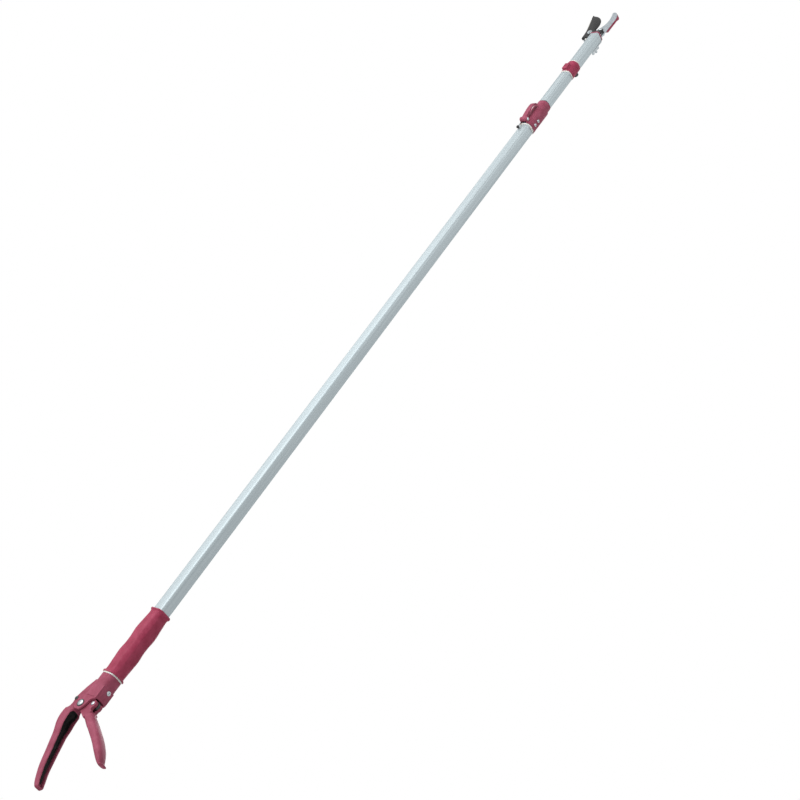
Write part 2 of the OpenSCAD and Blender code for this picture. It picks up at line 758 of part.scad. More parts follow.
module end_plug() {
    color(maroon) difference() {
        union() {
            translate([0, 0, head_z]) linear_extrude(plug_lip)
                round_square(inner_w + 2 * plug_over, inner_r + plug_over);
            translate([0, 0, head_z - plug_deep]) linear_extrude(plug_deep)
                round_square(inner_in - 2 * seat_play, inner_in_r - seat_play);
        }
        sheet(plate_h - 0.05, plate_t + seat_play) translate([-shank_half - seat_play, -plug_deep - 1])
            square([2 * (shank_half + seat_play), plug_deep + plug_lip + 2]);
        sheet(plate_h - 0.05, plate_t + seat_play) square([inner_w, plug_lip + 1]);
        translate([-7.6, -blade_h - blade_t - 0.4, head_z - 9]) cube([16.8, blade_h + blade_t + 6, 20]);
        translate([0, 0, head_z - plug_deep - 1]) cylinder(r = rod_r + run_gap, h = plug_deep);
        for (z = [bolt_z, stud_z]) head_pin(0, z, stud_r + bore_play, plate_h, inner_w);
    }
}

hook_back = [[-8, 12], [-8, 30], [-8.2, 50], [-8.6, 66], [-6.4, 79], [-2.4, 85.6], [2, 89.6], [6.2, 91]];
hook_tip = [[8.6, 90.2], [9.4, 88]];
hook_mouth = [[8.3, 84], [6.2, 75.6], [4.9, 66], [5.4, 55.8], [7.3, 48.5], [10.4, 42.4], [15, 36.4],
    [20.4, 31.6], [27, 27.4]];
hook_shift = pivot_x - 25;
hook_curve = concat(curve(hook_back, 4), hook_tip, curve(hook_mouth, 4));

module arc_slot(r, half, a0, a1) {
    intersection() {
        difference() {
            circle(r + half);
            circle(r - half);
        }
        polygon([[0, 0], 60 * [cos(a0), sin(a0)], 60 * [cos((a0 + a1) / 2), sin((a0 + a1) / 2)],
            60 * [cos(a1), sin(a1)]]);
    }
    for (a = [a0, a1]) translate(r * [cos(a), sin(a)]) circle(half);
}

module head_plate() {
    color(silver) difference() {
        union() {
            sheet(plate_h, plate_t) {
                polygon(concat([[-shank_half, -plug_deep]], hook_curve,
                    [[pivot_x, pivot_z + boss_r - 0.5], [pivot_x, pivot_z - boss_r + 0.5],
                    [17.6 + hook_shift, 3.2], [12, 1], [shank_half, 0.6], [shank_half, -plug_deep]]));
                translate([pivot_x, pivot_z]) circle(boss_r);
            }
            head_dome(pivot_x, pivot_z, boss_r - 2, dome_h, plate_front);
        }
        sheet(plate_h - 1, plate_t + 2) translate([pivot_x, pivot_z])
            arc_slot(tail_arm, slot_half, tail_angle - 4, tail_angle + close_angle + 3);
        head_pin(pivot_x, pivot_z, pivot_r + bore_play, plate_h - 1, plate_front + dome_h + 1);
        for (z = [bolt_z, stud_z]) head_pin(0, z, stud_r + bore_play, plate_h - 1, plate_front + 1);
        for (p = pad_holes) head_pin(p[0], p[1], pad_screw_r + bore_play, plate_h - 1, plate_front + 1);
    }
}

pad_foot = 29.5;
pad_inset = 1;
pad_screw_r = 2;
pad_holes = [[-2, 68], [-2.2, 37]];
pad_floor = pad_t - 3.4;
pad_back = [[-8.6, pad_foot], [-8.6, 50], [-9, 66], [-6.8, 79.4], [-2.8, 86], [1.6, 89.8]];
pad_mouth = [[7.2, 87.6], [6.9, 83], [5, 75.6], [3.8, 66], [4.3, 55.6], [6.1, 48], [9.2, 41.6], [13.2, 35.6],
    [14.2, pad_foot]];
rib_back = [[4, 86], [1.4, 76], [-0.4, 66], [-0.6, 56], [1.4, 47], [4.8, 39], [8.6, pad_foot]];

module grip_pad() {
    color(maroon) difference() {
        sheet(plate_front, pad_t) polygon(concat(curve(pad_back, 4), curve(pad_mouth, 4)));
        sheet(plate_front + pad_floor, pad_t) polygon(concat([[-12, pad_foot - 5], [-12, 70]],
            curve([for (p = pad_back) if (p[1] > 60) p + [2.2, -2]], 3), curve(rib_back, 3),
            [[8.6, pad_foot - 5]]));
        for (p = pad_holes) {
            head_pin(p[0], p[1], pad_screw_r + bore_play, plate_front - 1, plate_front + pad_t + 1);
            head_pin(p[0], p[1], 4.4, plate_front + pad_floor - 0.6, plate_front + pad_t + 1);
        }
    }
}

module pad_screws() {
    color(zinc) for (p = pad_holes) {
        head_pin(p[0], p[1], pad_screw_r, plate_h, plate_front + pad_floor - 0.5);
        head_dome(p[0], p[1], 3.7, 2.6, plate_front + pad_floor - 0.6);
    }
}

// Head: pivot, blade and holding plate

pivot_front = hold_front + sheet_gap + washer_t;

module pivot_bolt() {
    color(zinc) {
        head_pin(pivot_x, pivot_z, pivot_r, blade_h - sheet_gap - nut_h - 1, pivot_front + 0.2);
        head_dome(pivot_x, pivot_z, 4.2, screw_head_h, pivot_front);
        head_pin(pivot_x, pivot_z, 4.6, plate_front + dome_h, hold_front_h - sheet_gap);
    }
}

module pivot_washer() {
    color(zinc) difference() {
        head_pin(pivot_x, pivot_z, 5.3, pivot_front - washer_t, pivot_front);
        head_pin(pivot_x, pivot_z, pivot_r + bore_play, pivot_front - washer_t - 1, pivot_front + 1);
    }
}

module pivot_nut() {
    color(zinc) difference() {
        hex_at_head(pivot_x, pivot_z, 5.77, blade_h - sheet_gap - nut_h, blade_h - sheet_gap);
        head_pin(pivot_x, pivot_z, pivot_r + bore_play, blade_h - nut_h - 3, blade_h);
    }
}

blade_edge_x = 37;
blade_edge_z = 25.3;
blade_edge_r = 42.6;
blade_edge = [for (a = [196 : -4 : 100]) [blade_edge_x, blade_edge_z] + blade_edge_r * [cos(a), sin(a)]];
blade_back = [[30.2, 61], [25.6, 50], [19, 27], [15.8, 4], [15.2, -8], [14.4, -14], [11.2, -16.8],
    [8, -14.8], [7, -10.6], [0, -12], [-6, -10.4]];

module blade() {
    color(black) difference() {
        union() {
            sheet(blade_h, blade_t) translate([pivot_x, pivot_z])
                polygon(concat(blade_edge, curve(blade_back, 3)));
            head_pin(pivot_x, pivot_z, boss_r + 1, blade_h, blade_h + blade_t);
            sheet(blade_h, blade_t) translate([pivot_x, pivot_z]) rotate(tail_angle)
                translate([0, -tail_half]) square([tail_arm, 2 * tail_half]);
            head_pin(tail_x, tail_z, tail_pad_r, blade_h, blade_h + blade_t);
        }
        head_pin(pivot_x, pivot_z, pivot_r + bore_play, 0, plate_h);
        head_pin(tail_x, tail_z, tail_r + bore_play, 0, plate_h);
        head_pin(stop_x, stop_z, stop_r + bore_play, 0, plate_h);
    }
}

module tail_bolt() {
    color(zinc) {
        head_pin(tail_x, tail_z, tail_r, -eye_t / 2 - sheet_gap - 0.1, plate_front + nut_h + 1.4);
        head_pin(tail_x, tail_z, 3.4, -eye_t / 2 - sheet_gap - 2.6, -eye_t / 2 - sheet_gap);
    }
}

module tail_nut() {
    color(zinc) difference() {
        union() {
            hex_at_head(tail_x, tail_z, nut_r, plate_front + sheet_gap,
                plate_front + sheet_gap + nut_h - 1.2);
            head_pin(tail_x, tail_z, nut_r * 0.84, plate_front + sheet_gap, plate_front + sheet_gap + nut_h);
        }
        head_pin(tail_x, tail_z, tail_r + bore_play, plate_front, plate_front + nut_h + 2);
    }
}

module stop_pin() {
    color(zinc) head_pin(stop_x, stop_z, stop_r, blade_h, hold_front + 4);
}

// Holding plate, outlined from the blade's pivot
hold_edge = [[4.8, 20.4], [6.6, 29.7], [9.7, 38.8], [14.8, 47.3], [20.9, 55.9], [25.6, 59.8]];
hold_back = [[30.6, 62.6], [31.6, 60], [30.6, 56.4], [14.4, -4.6], [12.4, -7.6], [5.6, -10.6]];
hold_neck = [[-8.4, -10.6], [-9.6, -3], [-9.4, 3], [-4.8, 3.6], [1.7, 5.9], [4.6, 10.8], [5, 15]];
hold_wall = [[29.4, 56], [16.6, 7.8], [19.5, 7.4], [32.2, 56.2]];
hold_wave = 0.8;
hold_curve = curve(hold_edge, hold_teeth);
hold_waves = [for (i = [0 : len(hold_curve) - 1]) let (c = [for (q = hold_curve) [q[0], q[1], 0]])
    hold_curve[i] + side_of(c, i) * hold_wave * cos(360 * hold_teeth * i / (len(hold_curve) - 1))];
hold_windows = [
    [[7.4, 11.5], [7.8, 17], [9.2, 21], [11.4, 22.6], [13.2, 20], [13.8, 15.6], [10.6, 11.6]],
    [[11, 28.6], [12.8, 33.4], [16.6, 34], [18.6, 31.6], [17.4, 27], [13.2, 25.4]],
    [[16.4, 39.6], [19.6, 44.4], [26.2, 51], [25, 45.6], [21.6, 37.6], [18.4, 36.6]]];
rear_clear_r = 19.3;
tab_low = -4.4;
tab_w = 10.4;
tab_rise = 12.6;

module holding_plate() {
    front_outline = concat(hold_waves, hold_back, hold_neck);
    color(steel) difference() {
        union() {
            sheet(hold_front_h, hold_t) translate([pivot_x, pivot_z]) polygon(front_outline);
            sheet(hold_rear_h, hold_t) translate([pivot_x, pivot_z]) difference() {
                polygon(front_outline);
                circle(rear_clear_r);
            }
            sheet(hold_rear_h, hold_front - hold_rear_h) translate([pivot_x, pivot_z]) polygon(hold_wall);
            sheet(hold_front_h, hold_t + tab_step) translate([coil_x + tab_low, coil_z + tab_rise - hold_t])
                square([tab_w, hold_t]);
            head_pin(coil_x, coil_z, tab_r, hold_front_h + tab_step, hold_front + tab_step);
            sheet(hold_front_h + tab_step, hold_t) translate([coil_x + tab_low, coil_z])
                square([tab_w, tab_rise]);
        }
        for (w = hold_windows) sheet(hold_rear_h - 1, hold_front - hold_rear_h + 2)
            translate([pivot_x, pivot_z]) polygon(curve(concat(w, [w[0]]), 3));
        head_pin(pivot_x, pivot_z, pivot_r + bore_play, hold_rear_h - 1, hold_front + 5);
        head_pin(coil_x, coil_z, coil_post_r + bore_play, hold_front_h, hold_front + tab_step + 1);
        sheet(hold_front_h - 1, hold_t + 2) translate([pivot_x, pivot_z]) rotate(150)
            translate([0, -pivot_r - bore_play]) square([4, 2 * (pivot_r + bore_play)]);
    }
}

module spring_post() {
    color(zinc) {
        head_pin(coil_x, coil_z, coil_post_r, plate_front + 0.6, hold_front + tab_step + 0.6);
        head_pin(coil_x, coil_z, coil_post_r + 1, hold_front + tab_step, hold_front + tab_step + 1.2);
    }
}

coil_steps = coil_curls * 8;
coil_line = concat(
    [[coil_x + coil_r, -coil_h0, head_z + coil_z - 9], [coil_x + coil_r, -coil_h0, head_z + coil_z - 5]],
    [for (i = [0 : coil_steps]) let (a = 45 * i)
        [coil_x + coil_r * cos(a), -coil_h0 - coil_pitch * i / 8, head_z + coil_z + coil_r * sin(a)]],
    [[coil_x + coil_r, -coil_h0 - coil_pitch * coil_curls, head_z + coil_z + 5],
        [coil_x + coil_r, -coil_h0 - coil_pitch * coil_curls, head_z + coil_z + 9]]);
echo(plate_spring_gap = least_gap(coil_line, 6, coil_wire));

module plate_spring() {
    color(steel) swept(coil_line, coil_wire / 2, 6, [0, 1, 0]);
}

// Saw bracket

module saw_bracket() {
    color(zinc) difference() {
        sheet(inner_face, bracket_t) translate([-bracket_w / 2, -bracket_len])
            square([bracket_w, bracket_len]);
        for (z = [bolt_z, stud_z]) head_pin(0, z, stud_r + bore_play, inner_face - 1, bracket_front + 1);
    }
}

module bracket_bolt() {
    color(zinc) {
        head_pin(0, bolt_z, stud_r, plate_h, bracket_front + 0.5);
        head_pin(0, bolt_z, bolt_head_r + 1, bracket_front, bracket_front + 0.9);
        hex_at_head(0, bolt_z, bolt_head_r, bracket_front + 0.8, bracket_front + 3);
    }
}

module saw_stud() {
    color(zinc) {
        head_pin(0, stud_z, stud_r, plate_h, wing_front);
        head_pin(0, stud_z, stud_tip_r, wing_front - 1, stud_end);
    }
}

module stud_washer() {
    color(zinc) difference() {
        head_pin(0, stud_z, stud_washer_r, bracket_front, wing_z0 - 0.05);
        head_pin(0, stud_z, stud_r + bore_play, bracket_front - 1, wing_z0 + 1);
    }
}

wing_t = 2.4;
wing_lift = 3.2;
module wing_nut() {
    color(zinc) difference() {
        union() {
            head_pin(0, stud_z, wing_hub_r, wing_z0 + 0.05, wing_front);
            for (s = [-1, 1]) translate([-wing_t / 2, -wing_z0 - wing_lift, head_z + stud_z])
                rotate([90, 0, 90]) linear_extrude(wing_t) scale([-1, s]) {
                    polygon([[0, wing_hub_r - 2], [wing_hub_h - wing_lift - 0.4, wing_hub_r - 2], [6.5, 8],
                        [6.5, wing_span / 2 - 3], [0.8, wing_span / 2 - 3]]);
                    translate([3.6, wing_span / 2 - 3]) circle(3);
                }
        }
        head_pin(0, stud_z, stud_r + bore_play, bracket_front, stud_end + 1);
    }
}

outer_tube();
sleeve_grip();
nylon_ring();
handle_housing();
fixed_grip();
grip_liner();
housing_screw();
grip_rivet();
lever_pivot_pin();
lever_pivot_nut();
spring_seat();
return_spring();
trigger_lever();
link_pin();
lower_rod();
rod_collar();
rod_lock();
upper_rod();
mouth_bush();
clamp_ring();
clamp_body();
clamp_screws();
clamp_pin();
clamp_knob();
clamp_shoe();
clamp_lever();
inner_tube();
tail_bush();
stop_collar();
collar_screw();
collar_rings();
end_plug();
head_plate();
grip_pad();
pad_screws();
pivot_bolt();
pivot_washer();
pivot_nut();
blade();
tail_bolt();
tail_nut();
stop_pin();
holding_plate();
spring_post();
plate_spring();
saw_bracket();
bracket_bolt();
saw_stud();
stud_washer();
wing_nut();
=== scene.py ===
"""Tree pruner pole: its finishes, rounded mouldings, screws and springs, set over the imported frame."""
import json
import math

import bmesh
import bpy
from mathutils import Euler, Matrix, Vector


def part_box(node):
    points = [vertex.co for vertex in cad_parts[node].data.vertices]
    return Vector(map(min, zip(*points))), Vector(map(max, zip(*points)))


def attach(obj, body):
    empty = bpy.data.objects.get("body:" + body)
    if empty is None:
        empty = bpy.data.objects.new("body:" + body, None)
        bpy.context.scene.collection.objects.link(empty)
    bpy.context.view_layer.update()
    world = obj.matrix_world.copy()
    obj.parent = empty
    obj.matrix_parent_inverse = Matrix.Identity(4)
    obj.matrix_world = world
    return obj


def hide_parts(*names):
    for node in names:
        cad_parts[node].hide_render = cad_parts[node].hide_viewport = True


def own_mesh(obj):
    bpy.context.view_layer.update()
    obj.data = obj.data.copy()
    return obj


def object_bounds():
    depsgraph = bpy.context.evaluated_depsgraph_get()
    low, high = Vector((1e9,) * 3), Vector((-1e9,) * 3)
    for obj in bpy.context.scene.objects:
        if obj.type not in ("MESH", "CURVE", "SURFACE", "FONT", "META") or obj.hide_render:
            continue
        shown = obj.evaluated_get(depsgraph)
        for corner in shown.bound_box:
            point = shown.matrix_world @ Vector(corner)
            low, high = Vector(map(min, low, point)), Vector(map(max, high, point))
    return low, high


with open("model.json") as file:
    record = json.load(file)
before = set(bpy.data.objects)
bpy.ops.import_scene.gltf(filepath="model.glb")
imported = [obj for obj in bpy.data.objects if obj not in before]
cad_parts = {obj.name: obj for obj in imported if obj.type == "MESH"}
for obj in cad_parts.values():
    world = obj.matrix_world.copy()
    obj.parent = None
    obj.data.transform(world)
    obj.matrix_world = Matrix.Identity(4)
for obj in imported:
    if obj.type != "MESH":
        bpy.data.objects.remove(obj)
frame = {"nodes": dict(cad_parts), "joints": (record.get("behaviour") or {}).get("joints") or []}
cad_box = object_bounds()

# Places on the tool, in millimetres
MM = 0.001
scene = bpy.context.scene
nodes = frame["nodes"]
joints = {joint["name"]: joint for joint in frame["joints"]}


def box_mm(node):
    """Lowest and highest corner of a CAD node, in millimetres."""
    low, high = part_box(node)
    return low / MM, high / MM


def middle(node):
    """Middle of a CAD node, in millimetres."""
    low, high = box_mm(node)
    return (low + high) / 2


def depths(node):
    """How far forward a node at the head starts and ends; the front of the head faces -Y."""
    low, high = box_mm(node)
    return -high.y, -low.y


TUBE_END = box_mm("inner_tube")[1].z


def head_spot(node):
    """Middle of a node at the head, across and up from the sliding tube's end."""
    return Vector((middle(node).x, middle(node).z - TUBE_END))


PIVOT = Vector((joints["blade_turn"]["pos_m"][0] / MM, joints["blade_turn"]["pos_m"][2] / MM - TUBE_END))
LEVER_PIN = Vector(joints["trigger"]["pos_m"]) / MM
PLATE_BACK = depths("head_plate")[0]
PLATE_FRONT, PAD_FRONT = depths("grip_pad")
BLADE_BACK, BLADE_FRONT = depths("blade")
HOLD_BACK, TAB_FRONT = depths("holding_plate")
WASHER_BACK, WASHER_FRONT = depths("pivot_washer")
HOLD_T = 1.5
HOLD_FRONT = WASHER_BACK - 0.3
PAD_FLOOR = PLATE_FRONT + 4.6
MAIN_BORE = (23.1, 5.05)
SLIDE_BORE = (20.9, 4.05)

# The camera stands low behind the handle and looks up along the pole
CAMERA_PLACE = (-1.91106, 1.38813, -0.62564)
CAMERA_TURN = (123.0982, -31.1520, -147.2723)
CAMERA_LENS = 68.61

camera = bpy.data.objects.new("camera", bpy.data.cameras.new("camera"))
camera.data.lens = CAMERA_LENS
camera.data.sensor_width = 36
camera.data.clip_start = 0.05
camera.data.clip_end = 40
camera.location = CAMERA_PLACE
camera.rotation_euler = [math.radians(angle) for angle in CAMERA_TURN]
scene.collection.objects.link(camera)
scene.camera = camera
scene.view_settings.view_transform = "Standard"


# Nodes and colours
def linear(colour):
    """An sRGB hex colour as linear red, green, blue and alpha."""
    parts = [int(colour[i:i + 2], 16) / 255 for i in (1, 3, 5)]
    return [p / 12.92 if p <= 0.04045 else ((p + 0.055) / 1.055) ** 2.4 for p in parts] + [1.0]


def add(tree, kind, sockets=None, **settings):
    """Adds a node with its settings; a socket takes a constant or another node's output."""
    node = tree.nodes.new(kind)
    for name, value in settings.items():
        setattr(node, name, value)
    for key, value in (sockets or {}).items():
        if isinstance(value, bpy.types.NodeSocket):
            tree.links.new(value, node.inputs[key])
        else:
            node.inputs[key].default_value = value
    return node


def finish(name, sockets):
    """A new material with plain shader values; gives it, its tree, its shader and Object coordinates."""
    material = bpy.data.materials.new(name)
    material.use_nodes = True
    tree = material.node_tree
    shader = tree.nodes["Principled BSDF"]
    for key, value in sockets.items():
        shader.inputs[key].default_value = value
    return material, tree, shader, add(tree, "ShaderNodeTexCoord").outputs["Object"]


def grain(tree, where, size, detail=3.0, stretch=(1, 1, 1)):
    """Noise whose blots are about size millimetres across; stretch draws them out along an axis."""
    spread = add(tree, "ShaderNodeMapping", {"Vector": where, "Scale": [1 / s for s in stretch]})
    return add(tree, "ShaderNodeTexNoise", {"Vector": spread.outputs[0], "Scale": 1 / (size * MM),
                                            "Detail": detail, "Roughness": 0.55}).outputs["Fac"]


def tones(tree, value, *stops):
    """A colour ramp through (place, hex colour) stops."""
    ramp = add(tree, "ShaderNodeValToRGB", {"Fac": value})
    while len(ramp.color_ramp.elements) < len(stops):
        ramp.color_ramp.elements.new(0.5)
    for element, (place, colour) in zip(ramp.color_ramp.elements, stops):
        element.position = place
        element.color = linear(colour)
    return ramp.outputs["Color"]


def between(tree, value, low, high, start=0.3, end=0.7):
    """Stretches the middle of a pattern over the span from low to high."""
    return add(tree, "ShaderNodeMapRange", {"Value": value, "From Min": start, "From Max": end,
                                            "To Min": low, "To Max": high}).outputs["Result"]


def relief(tree, shader, height, depth, strength=1.0):
    """Raises the surface by a pattern, depth millimetres from low to high."""
    bump = add(tree, "ShaderNodeBump", {"Height": height, "Distance": depth * MM, "Strength": strength})
    tree.links.new(bump.outputs["Normal"], shader.inputs["Normal"])


# Stage: pale floor, white surroundings and soft lamps
def eye_share(tree):
    """One where the camera, a mirror or glass sees the surface, nothing where it only lights the tool."""
    path = add(tree, "ShaderNodeLightPath").outputs
    seen = path["Is Camera Ray"]
    for ray in ("Is Glossy Ray", "Is Transmission Ray"):
        seen = add(tree, "ShaderNodeMath", {0: seen, 1: path[ray]}, operation="MAXIMUM").outputs[0]
    return seen


AMBIENT = 0.32
world = bpy.data.worlds.new("studio")
scene.world = world
world.use_nodes = True
world_tree = world.node_tree
sky = add(world_tree, "ShaderNodeMapRange", {"Value": eye_share(world_tree), "To Min": AMBIENT,
                                             "To Max": 1.0})
world_tree.links.new(sky.outputs["Result"], world_tree.nodes["Background"].inputs["Strength"])
world_tree.nodes["Background"].inputs["Color"].default_value = (1, 1, 1, 1)

SHADOW_NEAR = 0.25
SHADOW_FAR = 1.1
FLOOR_REACH = 9


def studio_floor():
    """A white floor under the tool, seen from above only, that keeps a soft shadow round the tool's foot."""
    material = bpy.data.materials.new("floor_white")
    material.use_nodes = True
    tree = material.node_tree
    tree.nodes.remove(tree.nodes["Principled BSDF"])
    matt = add(tree, "ShaderNodeBsdfDiffuse", {"Color": linear("#f4f4f2")})
    glow = add(tree, "ShaderNodeEmission", {"Color": (1, 1, 1, 1), "Strength": 1.0})
    where = add(tree, "ShaderNodeTexCoord").outputs["Object"]
    away = add(tree, "ShaderNodeVectorMath", {0: where}, operation="LENGTH").outputs["Value"]
    fade = add(tree, "ShaderNodeMapRange", {"Value": away, "From Min": SHADOW_NEAR, "From Max": SHADOW_FAR,
                                            "To Min": 0.7, "To Max": 1.0}, interpolation_type="SMOOTHSTEP")
    share = add(tree, "ShaderNodeMath", {0: eye_share(tree), 1: fade.outputs["Result"]},
                operation="MULTIPLY")
    top = add(tree, "ShaderNodeMixShader", {0: share.outputs[0], 1: matt.outputs[0], 2: glow.outputs[0]})
    side = add(tree, "ShaderNodeNewGeometry").outputs["Backfacing"]
    clear = add(tree, "ShaderNodeBsdfTransparent")
    both = add(tree, "ShaderNodeMixShader", {0: side, 1: top.outputs[0], 2: clear.outputs[0]})
    tree.links.new(both.outputs[0], tree.nodes["Material Output"].inputs["Surface"])
    mesh = bpy.data.meshes.new("floor")
    corners = [(x * FLOOR_REACH, y * FLOOR_REACH, 0) for x, y in ((-1, -1), (1, -1), (1, 1), (-1, 1))]
    mesh.from_pydata(corners, [], [(0, 1, 2, 3)])
    mesh.materials.append(material)
    floor = bpy.data.objects.new("floor", mesh)
    floor.location.z = cad_box[0].z - 0.001
    scene.collection.objects.link(floor)


studio_floor()


def softbox(name, place, aim, size, power):
    """A square soft lamp that looks at a point."""
    lamp = bpy.data.objects.new(name, bpy.data.lights.new(name, "AREA"))
    lamp.data.shape = "SQUARE"
    lamp.data.size = size
    lamp.data.energy = power
    lamp.location = place
    lamp.rotation_euler = (Vector(aim) - Vector(place)).to_track_quat("-Z", "Y").to_euler()
    scene.collection.objects.link(lamp)


camera_axes = Euler(camera.rotation_euler).to_matrix()
TO_RIGHT, TO_TOP, TO_BACK = (camera_axes.col[i].copy() for i in range(3))
MIDDLE = Vector((0, 0, 0.65))
UPPER_END = Vector((0, 0, 1.5))
softbox("key", MIDDLE - TO_RIGHT * 1.4 + TO_TOP * 2.0 + TO_BACK * 0.9, MIDDLE, 2.6, 62)
softbox("rim", MIDDLE - TO_RIGHT * 1.0 + TO_TOP * 1.6 - TO_BACK * 0.9, MIDDLE, 1.6, 4)
softbox("front", Vector((1.7, -2.0, 1.7)), MIDDLE, 2.0, 24)
softbox("fill", UPPER_END + TO_RIGHT * 1.0 + TO_TOP * 0.2 + TO_BACK * 0.7, UPPER_END, 0.9, 4)


# Finishes
def surface(name, plain, coarse, stops, raised, rough=None, fine=None, stretch=(1, 1, 1)):
    """A finish from a grain, (size in mm, detail), that sets its tones; a finer grain, or else the same one,
    sets its gloss within a range and its relief, (depth in mm, strength)."""
    material, tree, shader, where = finish(name, plain)
    pattern = grain(tree, where, *coarse, stretch=stretch)
    tree.links.new(tones(tree, pattern, *stops), shader.inputs["Base Color"])
    if fine:
        pattern = grain(tree, where, *fine)
    if rough:
        tree.links.new(between(tree, pattern, *rough), shader.inputs["Roughness"])
    relief(tree, shader, pattern, *raised)
    return material


def moulded_plastic(name, deep, plain, worn):
    """Polypropylene from a spark-eroded mould: fine even grain, faint swirls of tone, pale rubbed edges."""
    material, tree, shader, where = finish(name, {"IOR": 1.49, "Specular IOR Level": 0.16})
    colour = tones(tree, grain(tree, where, 14, 2), (0.3, deep), (0.7, plain))
    edges = add(tree, "ShaderNodeNewGeometry").outputs["Pointiness"]
    rub = between(tree, edges, 0.0, 0.55, 0.53, 0.62)
    patchy = add(tree, "ShaderNodeMath", {0: rub, 1: grain(tree, where, 3, 3)}, operation="MULTIPLY")
    mixed = add(tree, "ShaderNodeMix", {"Factor": patchy.outputs[0], "A": colour, "B": linear(worn)},
                data_type="RGBA")
    tree.links.new(mixed.outputs["Result"], shader.inputs["Base Color"])
    erosion = grain(tree, where, 0.7, 2)
    tree.links.new(between(tree, erosion, 0.44, 0.58), shader.inputs["Roughness"])
    relief(tree, shader, erosion, 0.02, 0.4)
    return material


def blade_coating():
    """Black non-stick coat sprayed on hardened steel: matt, finely speckled, a pale chip near the tip."""
    material, tree, shader, where = finish("blade_coating", {"IOR": 1.42})
    speckle = grain(tree, where, 0.55, 3)
    coat = tones(tree, speckle, (0.48, "#0b0b0c"), (0.62, "#161617"), (0.7, "#4c4c50"))
    chip_at = Vector((PIVOT.x + 30.2, -BLADE_BACK, TUBE_END + PIVOT.y + 59.5)) * MM
    away = add(tree, "ShaderNodeVectorMath", {0: where, 1: chip_at}, operation="DISTANCE").outputs["Value"]
    ragged = add(tree, "ShaderNodeMath", {0: grain(tree, where, 2, 3), 1: 4 * MM, 2: away},
                 operation="MULTIPLY_ADD")
    chip = between(tree, ragged.outputs[0], 1.0, 0.0, 3.5 * MM, 4.2 * MM)
    mixed = add(tree, "ShaderNodeMix", {"Factor": chip, "A": coat, "B": linear("#8b8c8c")}, data_type="RGBA")
    tree.links.new(mixed.outputs["Result"], shader.inputs["Base Color"])
    tree.links.new(between(tree, speckle, 0.42, 0.6), shader.inputs["Roughness"])
    relief(tree, shader, speckle, 0.03, 0.6)
    return material


def black_skin(name, deep, lift, rough, size, depth):
    """A nearly even black surface with a soft grain that breaks its sheen."""
    return surface(name, {"IOR": 1.5}, (size, 3), ((0.35, deep), (0.7, lift)), (depth, 0.6),
                   (rough - 0.08, rough + 0.1))


# Satin aluminium tube, pulled through a die: fine lines along its length, in soft bright and dull streaks
ALUMINIUM = surface("drawn_aluminium", {"Metallic": 0.85}, (1.6, 4),
                    ((0.3, "#a2adb1"), (0.5, "#acb6ba"), (0.7, "#b5bfc2")), (0.006, 0.3), (0.52, 0.6),
                    stretch=(1, 1, 200))
# Blue-passivated zinc plating: a thin bright skin with a faint cloudy crystal mottle
ZINC = surface("bright_zinc", {"Metallic": 1.0}, (2.2, 4),
               ((0.3, "#a3abaf"), (0.6, "#b5bcbf"), (0.8, "#c6cbce")), (0.01, 0.4), (0.2, 0.36))
# Tumbled and plated spring steel: an even grey sheen with tiny pits and faint tumbling marks
HOOK = surface("satin_steel", {"Metallic": 1.0}, (5, 4), ((0.3, "#98a1a7"), (0.7, "#b6bec3")), (0.012, 0.5),
               (0.3, 0.44), fine=(0.5, 3))
# Stainless sheet, brushed one way before it was pressed: warm grey with hair lines up the plate
STAINLESS = surface("brushed_stainless", {"Metallic": 1.0}, (0.35, 3),
                    ((0.25, "#8f8d83"), (0.5, "#9f9d93"), (0.75, "#afada5")), (0.01, 0.6), (0.26, 0.42),
                    stretch=(1, 1, 40))
# The blade's bevel, ground bright across the edge: fine scratches square to it
EDGE = surface("ground_edge", {"Metallic": 1.0, "Roughness": 0.25}, (0.25, 2),
               ((0.3, "#8d9296"), (0.7, "#b9bec1")), (0.008, 0.6), stretch=(12, 1, 1))
# Cold-drawn spring wire: bright grey with draw lines and a light oil sheen
WIRE = surface("spring_wire", {"Metallic": 1.0}, (0.5, 3), ((0.3, "#8e9294"), (0.7, "#b9bdbe")),
               (0.006, 0.5), (0.18, 0.32))
# Natural nylon, injection moulded: milky white, a little waxy, very faintly clouded
NYLON = surface("white_nylon", {"Roughness": 0.4, "IOR": 1.53, "Subsurface Weight": 0.08,
                                "Subsurface Scale": 0.001},
                (3, 2), ((0.3, "#e6e6e1"), (0.7, "#f3f3ef")), (0.01, 0.4), fine=(0.6, 2))
# Red polypropylene of the sleeve, the collar and the jaw pad: satin, with faint swirls
CRIMSON = moulded_plastic("moulded_crimson", "#9b3650", "#ad4661", "#cd8d9b")
# The same plastic in a duller tint, for the handle, the clamp and the plug
MAROON = moulded_plastic("moulded_maroon", "#98475c", "#ab586f", "#d3a0ab")
COATING = blade_coating()
# Soft rubber moulded over the grip: deep dull black with an open grain
RUBBER = black_skin("liner_rubber", "#0c0c0d", "#1b1b1c", 0.72, 0.8, 0.05)
# Black nylon, injection moulded: a low sheen over a fine grain
BLACK = black_skin("black_nylon", "#131314", "#222224", 0.46, 0.6, 0.02)
# Drawn rod, anodised black: smoother, with a faint grey sheen
ANODISED = black_skin("black_anodised", "#18191b", "#2a2b2e", 0.38, 0.5, 0.01)


